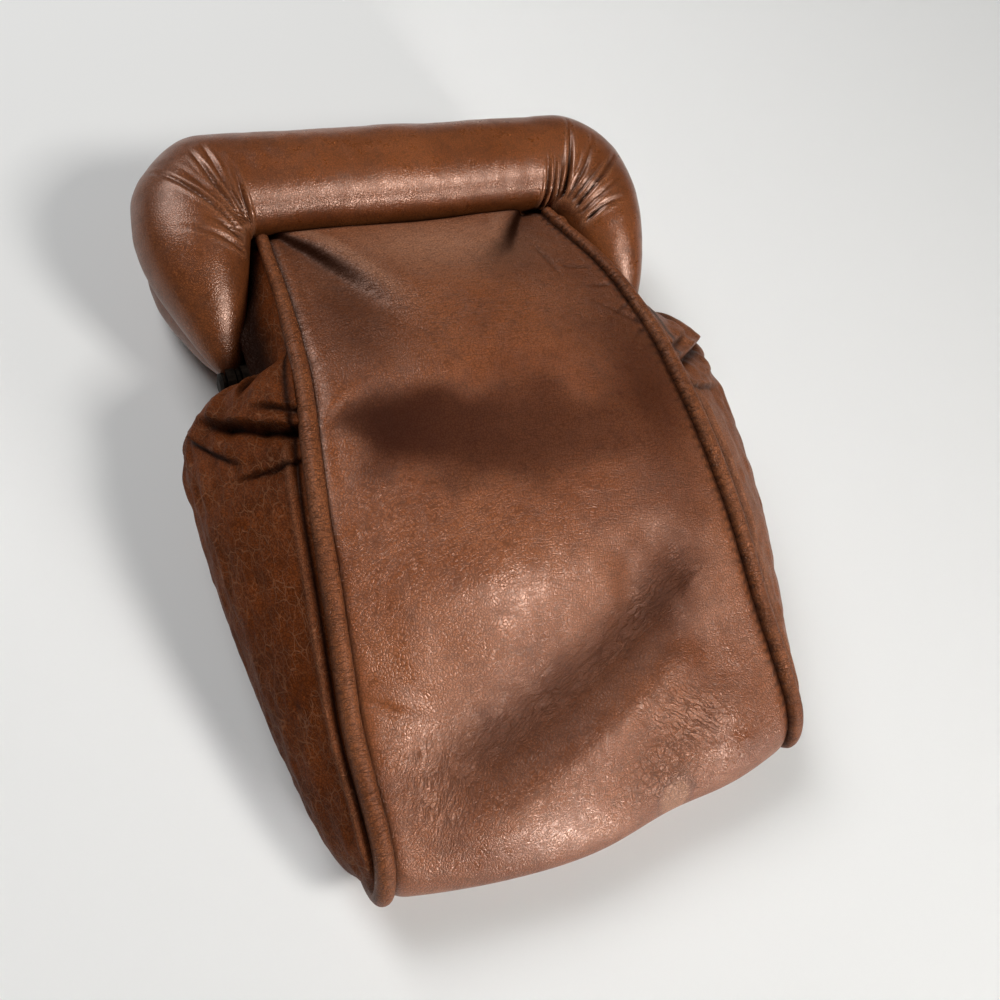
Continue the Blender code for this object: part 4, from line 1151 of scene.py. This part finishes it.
def mould_piping(label, side, seed):
    """Rolls the piping's leather round the line of one seam."""
    cut, around, along = flat_cut(f"piping_{label}_leather", PIPING_SIDES, PIPING_ROWS)
    start = np.interp(-PIPING_END_UP, -FRONT_SEAM[::-1, 0], RUN_LENGTH[RUN_LENGTH <= BOTTOM_AT])
    end = RUN_LENGTH[-1] - (MOUTH_UP - PIPING_END_UP)
    length = start + (end - start) * (1 - along) / 2
    seam_up, seam_z = [np.interp(length, RUN_LENGTH, column) for column in SEAM.T]
    up, _, out_up, out_z = on_run(length)
    angle = np.pi * around
    length_mm = length / MM
    pull = soft_noise(length_mm / PUCKER_MM, np.full_like(length, 3.5), seed)
    inner_side = np.maximum(np.cos(angle), 0)
    slim = 1 - (1 - PIPING_TOP_SHARE) * ease((up - SLIM_FROM_UP) / SLIM_OVER) * (length < BOTTOM_AT)
    tab = np.exp(-((up - TAB_UP) / TAB_LONG) ** 2) * (length < BOTTOM_AT) * (side > 0)
    uneven = 0.05 * soft_noise(length_mm / 7, np.abs(angle), seed + 1)
    radius = PIPING_RADIUS * slim * (1 + uneven + TAB_SHARE * tab)
    radius -= PUCKERS[label] * MM * np.maximum(pull, 0) * (0.3 + 0.7 * inner_side)
    x = half_width(up) - radius * np.cos(angle)
    rise = radius * np.sin(angle)
    x = side * x + lean(up, side)
    points = np.column_stack([x, seam_up + out_up * rise - CENTRE_UP, seam_z + out_z * rise])
    points[:, 2] = np.maximum(points[:, 2], PIPING_LEAST_Z)
    set_points(cut, points)
    # Painted shade where the piping meets the seams, with dark ticks along the right piping's inner side.
    in_seam = 0.6 * np.abs(np.cos(angle)) ** 5
    ticks = np.maximum(np.sin(2 * np.pi * (length_mm / TICK_MM + 0.8 * pull)), 0)
    mark(cut, "shade_and_worn_rim", np.maximum(0.9 * (0.3 + 0.7 * ticks) * inner_side ** 2 * (side > 0), in_seam))
    mark(cut, "level_wrinkles", np.full(len(up), 0.8))
    close_tube(cut)
    cut.data.materials.append(PIPING_LEATHER)
    bpy.ops.object.shade_smooth()
    return cut


pipings = {label: mould_piping(label, side, 41 + side) for label, side in SIDES}
print("piping:", [len(p.data.polygons) for p in pipings.values()], "faces")

# %% [markdown]
# ## The padded rolls
#
# Each half of the frame is a tube of leather stuffed with foam. Bent round the corners of the bow, the
# leather on the inside of each bend has nowhere to go, so it gathers in pleats that fan out from the
# inner corner. A bevelled curve would have the same section all along, and the arms have to taper, so the
# tube is a grid rolled into a D-shaped section along the U. The pleats are drawn as lines on it, sharp
# where they are pinched and fading as they climb over the top.

# %% A roll's plan and section
ROLL_HEIGHT = 14.6 * MM
TIP_HEIGHT = 5.6 * MM
TIP_SHARE = 0.27
TIP_LEAST = 1.0 * MM
ROLL_FULL = 0.8 * MM
ROLL_EDGE = 0.45
D_SOFTNESS = 0.05
ARM_ROWS, CORNER_ROWS, BAR_ROWS = 60, 110, 70


def roll_plan(tuck):
    """Inner edge, outer edge and height of a roll in plan, row by row, from right tip to left tip."""
    share = np.linspace(-TIP_SHARE, 1, ARM_ROWS, endpoint=False)
    inner, outer = arm_edges(share, tuck)
    height = TIP_HEIGHT + (ROLL_HEIGHT - TIP_HEIGHT) * (1 - (1 - share) ** 2)
    round_end = np.sqrt(np.clip(1 - (np.minimum(share, 0) / TIP_SHARE) ** 2, 0.04, 1))
    middle = (inner + outer) / 2
    inner = middle + (inner - middle) * round_end[:, None]
    outer = middle + (outer - middle) * round_end[:, None]
    height = np.maximum(height * round_end, TIP_LEAST)
    turn = np.linspace(0, np.pi / 2, CORNER_ROWS, endpoint=False)
    spoke = np.column_stack([np.cos(turn), np.sin(turn)])
    inner_middle = np.array([FRAME_HALF - ROLL_WIDTH, FRAME_TOP - ROLL_WIDTH]) - INNER_CORNER
    outer_middle = np.array([FRAME_HALF, FRAME_TOP]) - OUTER_CORNER
    bar = np.sin(np.linspace(np.pi / 2, 0, BAR_ROWS))[:, None] ** 0.8
    bar_inner = np.column_stack([bar * inner_middle[0], np.full(BAR_ROWS, inner_middle[1] + INNER_CORNER)])
    bar_outer = np.column_stack([bar * outer_middle[0],
                                 np.full(BAR_ROWS, outer_middle[1] + OUTER_CORNER - tuck)])
    full = ROLL_FULL if tuck == 0 else 0
    bar_outer[:, 1] += full
    inner = np.vstack([inner, inner_middle + spoke * INNER_CORNER, bar_inner])
    corner_outer = outer_middle + spoke * (OUTER_CORNER - tuck) + spoke * (0, full)
    outer = np.vstack([outer, corner_outer, bar_outer])
    height = np.concatenate([height, np.full(CORNER_ROWS + BAR_ROWS, ROLL_HEIGHT)])
    flip = np.array([-1, 1])
    return (np.vstack([inner, inner[-2::-1] * flip]), np.vstack([outer, outer[-2::-1] * flip]),
            np.concatenate([height, height[-2::-1]]))


def roll_section(inner, outer, height, angle):
    """Plan places and lift over the middle plane round a roll: a D with soft corners."""
    plan = (inner + outer) / 2 + (outer - inner) / 2 * np.cos(angle)[:, None]
    full = ROLL_EDGE + (1 - ROLL_EDGE) * np.sin(angle)
    return plan, height * (full + np.sqrt(full ** 2 + D_SOFTNESS ** 2)) / 2


print("rows along a roll:", len(roll_plan(0)[2]))

# %% Gathers at the corners
PLEAT_WIDTH, PLEAT_OPENS = 0.17, 0.26
PLEAT_DEPTH, PLEAT_DEEPEST = 1.3, 1.6
RIDGE_AT, RIDGE_WIDTH, RIDGE_SHARE = 0.85, 0.4, 0.3
LONG_PLEAT = 12
GATHERS_LEFT = [
    [(-31.2, 119.5), (-32.0, 123.2), (-32.4, 128.0)],
    [(-32.0, 119.2), (-33.5, 123.2), (-34.2, 129.5)],
    [(-32.6, 118.6), (-34.6, 124.3), (-36.5, 131.4), (-37.0, 135.5)],
    [(-33.2, 118.0), (-36.4, 124.1), (-38.9, 130.9), (-40.2, 135.5)],
    [(-33.8, 117.2), (-38.3, 123.4), (-42.8, 129.9)],
    [(-34.4, 116.0), (-39.5, 121.9), (-43.5, 126.2), (-48.5, 132.0)],
    [(-34.6, 114.6), (-38.3, 117.2), (-41.0, 118.0)],
    [(-34.8, 112.6), (-39.0, 114.6), (-42.7, 115.9), (-45.8, 116.6)],
]
GATHERS_RIGHT = [
    [(29.0, 119.5), (29.3, 123.0), (29.8, 127.0)],
    [(30.2, 119.5), (30.9, 123.5), (31.2, 128.0)],
    [(31.3, 119.2), (32.0, 123.0), (33.0, 127.0)],
    [(32.0, 118.6), (33.6, 122.5), (35.6, 128.0), (38.4, 136.5)],
    [(32.7, 117.6), (36.5, 121.8), (40.5, 127.5), (43.0, 133.0)],
    [(33.3, 116.6), (38.0, 120.0), (41.5, 123.5)],
    [(33.8, 115.4), (39.5, 119.2), (43.5, 123.0), (47.5, 127.5)],
    [(34.3, 113.8), (38.0, 115.4), (43.0, 118.2), (46.8, 119.6)],
    [(34.8, 112.0), (38.0, 113.2), (44.3, 114.2)],
]


def pleat_depth(x, up, lines):
    """Depth of the gathered pleats in mm at places in mm, the painted shade in them, and their ridges, which
    get a painted highlight.
    """
    depth, dark, ridge = np.zeros(len(x)), np.zeros(len(x)), np.zeros(len(x))
    for k, line in enumerate(lines):
        away, share = from_line(line, x, up)
        away = np.abs(away)
        width = PLEAT_WIDTH + PLEAT_OPENS * share
        strong = (1 - ease(share)) * (0.75 + 0.25 * math.cos(2.3 * k))
        ends = np.linalg.norm(np.subtract(line[-1], line[0]))
        reach = PLEAT_DEPTH * strong * min(ends / LONG_PLEAT, 1)
        beside = np.exp(-((away - RIDGE_AT) / RIDGE_WIDTH) ** 2)
        depth += reach * np.exp(-(away / width) ** 1.3) - RIDGE_SHARE * reach * beside
        dark = np.maximum(dark, strong * np.exp(-(away / (1.5 * width)) ** 2))
        ridge = np.maximum(ridge, strong * beside)
    return np.minimum(depth, PLEAT_DEEPEST), dark, ridge


print("gathers:", len(GATHERS_LEFT), "on the left and", len(GATHERS_RIGHT), "on the right")

# %% Roll the leather
ROLL_SIDES = 84
ROLL_LEAST_Z = 0.02 * MM
HINGE_SHADE_UP, HINGE_SHADE_OVER = 97.5, 4
SLUMP, SLUMP_SIZE, SLUMP_BY = (-48, 137), (9, 9), (1.6 * MM, -1.0 * MM, 0)
BULGE, BULGE_SIZE, BULGE_BY = (-50, 115), (6, 10), (1.0 * MM, 0, 0)
DULL_ARM, DULL_ARM_SIZE = (-47, 123), (9, 15)


def mould_roll(name, face, lines, seed):
    """Rolls leather round the foam of one half of the frame."""
    tuck = 0 if face > 0 else REAR_TUCK
    inner, outer, height = roll_plan(tuck)
    cut, around, along = flat_cut(name, ROLL_SIDES, len(inner) - 1)
    row = np.rint((1 - along) / 2 * (len(inner) - 1)).astype(int)
    plan, lift = roll_section(inner[row], outer[row], height[row], np.pi * around)
    z = MID_Z + face * (GAP + lift)
    set_points(cut, np.column_stack([plan[:, 0], plan[:, 1] - CENTRE_UP, z]))
    close_tube(cut)
    points, normals = points_of(cut), normals_of(cut)
    x, up = points[:, 0] / MM, (points[:, 1] + CENTRE_UP) / MM
    depth, dark, ridge = pleat_depth(x, up, lines)
    top = ease((face * (points[:, 2] - MID_Z) / MM - 2.0) / 4.0)
    slack = 0.22 * soft_noise(x / 9, up / 9, seed) + 0.06 * soft_noise(x / 2.5, up / 2.5, seed + 1)
    points += normals * ((slack - depth) * top * MM)[:, None]
    points[:, 2] = np.maximum(points[:, 2], ROLL_LEAST_Z)
    slumped = patch(x, up, SLUMP, SLUMP_SIZE)[:, None] * SLUMP_BY
    points += slumped - patch(x, up, BULGE, BULGE_SIZE)[:, None] * BULGE_BY
    set_points(cut, points)
    # Painted shade in the pleats and on the arms' tips by the hinge.
    hinge_shade = ease((HINGE_SHADE_UP - up) / HINGE_SHADE_OVER)
    mark(cut, "shade_and_worn_rim", 0.97 * np.maximum(dark * top, hinge_shade))
    # Painted highlight on the pleats' ridges.
    mark(cut, "rub_and_highlight", 0.3 * ridge * top * (1 - dark))
    # Darker and duller on the left arm's corner.
    mark(cut, "stain_and_shade", 0.4 * patch(x, up, DULL_ARM, DULL_ARM_SIZE))
    mark(cut, "polish", ridge * top)
    cut.data.materials.append(ROLL_LEATHER)
    bpy.ops.object.shade_smooth()
    return cut


rolls = {
    "front": mould_roll("front_roll", 1, GATHERS_LEFT + GATHERS_RIGHT, 51),
    "rear": mould_roll("rear_roll", -1, GATHERS_LEFT + GATHERS_RIGHT, 61),
}
print("rolls:", [len(r.data.polygons) for r in rolls.values()], "faces")

# %% [markdown]
# ## Foam inside the rolls
#
# Under the leather each roll is a bar of foam on the steel bow. It is hidden, and it is made all the same,
# so that the roll isn't an empty skin: the same D-shaped section, drawn in by the leather's thickness.

# %% Foam
FOAM_INSET = 1.6 * MM
FOAM_SIDES = 28
FOAM_ENDS, FOAM_EVERY = 8, 3


def foam_finish():
    """Pale open-celled foam."""
    finish, tree, shader, where = new_finish("foam_finish")
    cells = wire(tree, "ShaderNodeTexVoronoi", {"Vector": where, "Scale": 2.6}).outputs["Distance"]
    colour = tint(tree, between(tree, cells, 0.1, 0.6), (0.50, 0.44, 0.32, 1), (0.74, 0.68, 0.54, 1))
    tree.links.new(colour, shader.inputs["Base Color"])
    shader.inputs["Roughness"].default_value = 0.95
    bump = wire(tree, "ShaderNodeBump", {"Height": cells, "Strength": 0.8, "Distance": 0.15 * MM})
    tree.links.new(bump.outputs["Normal"], shader.inputs["Normal"])
    return finish


def mould_foam(name, face, finish):
    """A bar of foam that fills one roll."""
    inner, outer, height = roll_plan(0 if face > 0 else REAR_TUCK)
    keep = np.arange(FOAM_ENDS, len(inner) - FOAM_ENDS, FOAM_EVERY)
    inner, outer, height = inner[keep], outer[keep], height[keep]
    reach = np.linalg.norm(outer - inner, axis=1)[:, None]
    step = (outer - inner) / reach * FOAM_INSET
    cut, around, along = flat_cut(name, FOAM_SIDES, len(inner) - 1)
    row = np.rint((1 - along) / 2 * (len(inner) - 1)).astype(int)
    plan, lift = roll_section((inner + step)[row], (outer - step)[row], height[row] - 2 * FOAM_INSET,
                              np.pi * around)
    z = MID_Z + face * (GAP + FOAM_INSET + lift)
    set_points(cut, np.column_stack([plan[:, 0], plan[:, 1] - CENTRE_UP, z]))
    close_tube(cut)
    cut.data.materials.append(finish)
    bpy.ops.object.shade_smooth()
    return cut


FOAM = foam_finish()
foams = {"front": mould_foam("front_foam", 1, FOAM), "rear": mould_foam("rear_foam", -1, FOAM)}
print("foam:", [len(f.data.polygons) for f in foams.values()], "faces")

# %% [markdown]
# ## Linings
#
# Inside, the pouch is lined with plain brown cloth, which shows only when the frame is open. Each lining
# lies just under its leather, so it follows the same folds. The weave is drawn from two numbers kept at
# the cloth's points, how far across and how far along the cut each one is, so it bends with the cloth.

# %% Lining cloth
THREAD_MM = 0.45


def lining_cloth():
    """Plain-woven brown cloth."""
    finish, tree, shader, where = new_finish("lining_cloth")
    over = []
    for thread in ("warp", "weft"):
        turns = sums(tree, "MULTIPLY", kept_number(tree, thread), 2 * math.pi / THREAD_MM)
        over.append(sums(tree, "SINE", turns))
    weave = sums(tree, "MULTIPLY", *over)
    slub = noise(tree, where, 0.9, 3.0)
    colour = tint(tree, between(tree, slub, 0.3, 0.7), (0.150, 0.090, 0.050, 1), (0.220, 0.145, 0.090, 1))
    colour = tint(tree, between(tree, weave, -1.0, 1.0, 0.35, 0.0), colour, (0.060, 0.034, 0.018, 1))
    tree.links.new(colour, shader.inputs["Base Color"])
    shader.inputs["Roughness"].default_value = MATT
    shader.inputs["Specular IOR Level"].default_value = 0.1
    bump = wire(tree, "ShaderNodeBump", {"Height": weave, "Strength": 0.7, "Distance": 0.08 * MM})
    tree.links.new(bump.outputs["Normal"], shader.inputs["Normal"])
    return finish


LINING = lining_cloth()
print("the weave repeats every", THREAD_MM, "mm")

# %% Lay the linings
LINING_THICK = 0.5 * MM
LINING_UNDER = WRAP_THICK + 0.4 * MM
LINING_INSET = 1.2 * MM
WRAP_LINING_GRID, SIDE_LINING_GRID = (60, 150), (50, 80)
SIDE_LINING_FROM_UP, SIDE_LINING_LONG = 11, 78
SIDE_LINING_FROM, SIDE_LINING_SHARE = 0.06, 0.88
SIDE_LINING_UNDER = 0.5 * MM
SIDE_LINING_LEAST_Z = 2.6 * MM


def finish_lining(cut, across, along):
    """Keeps the threads' places, notes the cut's size and gives the cloth its thickness."""
    SHEETS[cut.name] = cut_size(cut, across)
    width, length = SHEETS[cut.name][:2]
    mark(cut, "warp", across * width / 2 / MM)
    mark(cut, "weft", along * length / 2 / MM)
    return finish_sheet(cut, LINING_THICK, LINING)


def mould_wrap_lining():
    """Lays the wrap's lining under the wrap."""
    cut, across, along = flat_cut("wrap_lining", *WRAP_LINING_GRID)
    length, place = wrap_places(across, along)
    lift = wrap_lift(length, place) - LINING_UNDER
    set_points(cut, wrap_points(length, place, lift, EDGE_INSET + LINING_INSET))
    face_outwards(cut, points_of(cut) - INSIDE)
    return finish_lining(cut, across, along)


def mould_side_lining(label, side, seed):
    """Lays a gusset's lining under the gusset."""
    cut, across, along = flat_cut(f"side_lining_{label}", *SIDE_LINING_GRID)
    up = (SIDE_LINING_FROM_UP + SIDE_LINING_LONG * (along + 1) / 2) * MM
    t = SIDE_LINING_FROM + SIDE_LINING_SHARE * (across + 1) / 2
    lift = gusset_lift(up, t, seed)[0] - GUSSET_LEATHER_THICK / 2 - SIDE_LINING_UNDER
    points = gusset_middle(up, t) + gusset_outward(up, t) * lift[:, None]
    points[:, 2] = np.maximum(points[:, 2], SIDE_LINING_LEAST_Z)
    points[:, 0] = side * points[:, 0] + gusset_lean(up, t, side)
    set_points(cut, points)
    face_outwards(cut, gusset_outward(up, t) * (side, 1, 1))
    return finish_lining(cut, across, along)


wrap_lining = mould_wrap_lining()
side_linings = {label: mould_side_lining(label, side, SEEDS[label]) for label, side in SIDES}
print("linings:", [name for name in SHEETS if "lining" in name])

# %% [markdown]
# ## Steel and magnet
#
# The bows, rivets and washers keep their solids, which are already the right shape. They are steel,
# browned almost black with brighter scratches: painted shade, so that the hinge reads as the dark hollow
# that lies there. The magnet and its keeper are nickel plated. Both finishes take their small marks from
# noise on the piece itself.

# %% Metal finishes
def metal(name, dark, bright, roughness):
    """Metal with cloudy tone and fine scratches along the pouch."""
    finish, tree, shader, where = new_finish(name)
    cloud = noise(tree, where, 0.5, 4.0)
    stretched = wire(tree, "ShaderNodeMapping", {"Vector": where, "Scale": (6.0, 0.25, 6.0)})
    scratch = noise(tree, stretched.outputs["Vector"], 1.0, 2.0)
    colour = tint(tree, between(tree, cloud, 0.3, 0.7), (*dark, 1), (*bright, 1))
    tree.links.new(colour, shader.inputs["Base Color"])
    rough = between(tree, scratch, 0.3, 0.7, roughness - 0.08, roughness + 0.1)
    tree.links.new(rough, shader.inputs["Roughness"])
    shader.inputs["Metallic"].default_value = 1.0
    bump = wire(tree, "ShaderNodeBump", {"Height": scratch, "Strength": 0.5, "Distance": 0.03 * MM})
    tree.links.new(bump.outputs["Normal"], shader.inputs["Normal"])
    return finish


def refinish(node, finish):
    """Gives a solid that stays in view a new material."""
    solid = bpy.data.objects[node]
    solid.data.materials.clear()
    solid.data.materials.append(finish)


# Near black: painted shade, so that the rivets and washers read as the shade in the hinge's hollow.
BROWNED_STEEL_AS_SHADE = metal("browned_steel_as_shade", (0.007, 0.005, 0.004), (0.022, 0.015, 0.011), 0.66)
NICKEL = metal("nickel_plate", (0.40, 0.39, 0.37), (0.58, 0.57, 0.54), 0.32)
STEEL_NODES = ["front_bow", "rear_bow"] + [f"hinge_{part}_{label}" for part in ("rivet", "washer")
                                           for label, side in SIDES]
for node in STEEL_NODES:
    refinish(node, BROWNED_STEEL_AS_SHADE)
for node in ("front_magnet", "rear_keeper"):
    refinish(node, NICKEL)
print("metal solids:", len(STEEL_NODES) + 2)

# %% [markdown]
# ## What moves with what
#
# The front half of the frame turns on the hinge. Leather that is sewn to both halves has to bend between
# them. Each piece could be cut in two at the hinge, but the cut would open with the frame. The wrap, the
# piping, the gussets and the linings are left whole and stay where they lie; the front roll, its foam and
# the front wings hang from the front half, and the rear ones from the pouch.


def bends(piece, slot, *nodes):
    """Bakes the placement of a piece that crosses the hinge into its mesh, and hides the solids that it
    stands in for.
    """
    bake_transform(piece)
    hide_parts(*nodes)


bends(wrap, "body_leather", "body_panel", "front_panel_upper")
bends(wrap_lining, "lining_cloth", "lining_wrap", "lining_front_upper")
for label, side in SIDES:
    bends(gussets[label], "gusset_leather", f"gusset_{label}")
    bends(pipings[label], "piping_leather", f"piping_{label}", f"piping_{label}_upper")
    bends(side_linings[label], "lining_cloth", f"lining_side_{label}")
for (label, face), wing in wings.items():
    half = "front" if face > 0 else "rear"
    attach(wing, "front_frame" if face > 0 else "pouch")
    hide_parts(f"gusset_{label}_{half}_wing")
for half, roll in rolls.items():
    body = "front_frame" if half == "front" else "pouch"
    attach(roll, body)
    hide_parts(f"{half}_roll_cover")
    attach(foams[half], body)
    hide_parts(f"{half}_padding")
print("declared:", len(SHEETS), "sheets and", len(rolls) + len(foams), "padded pieces")
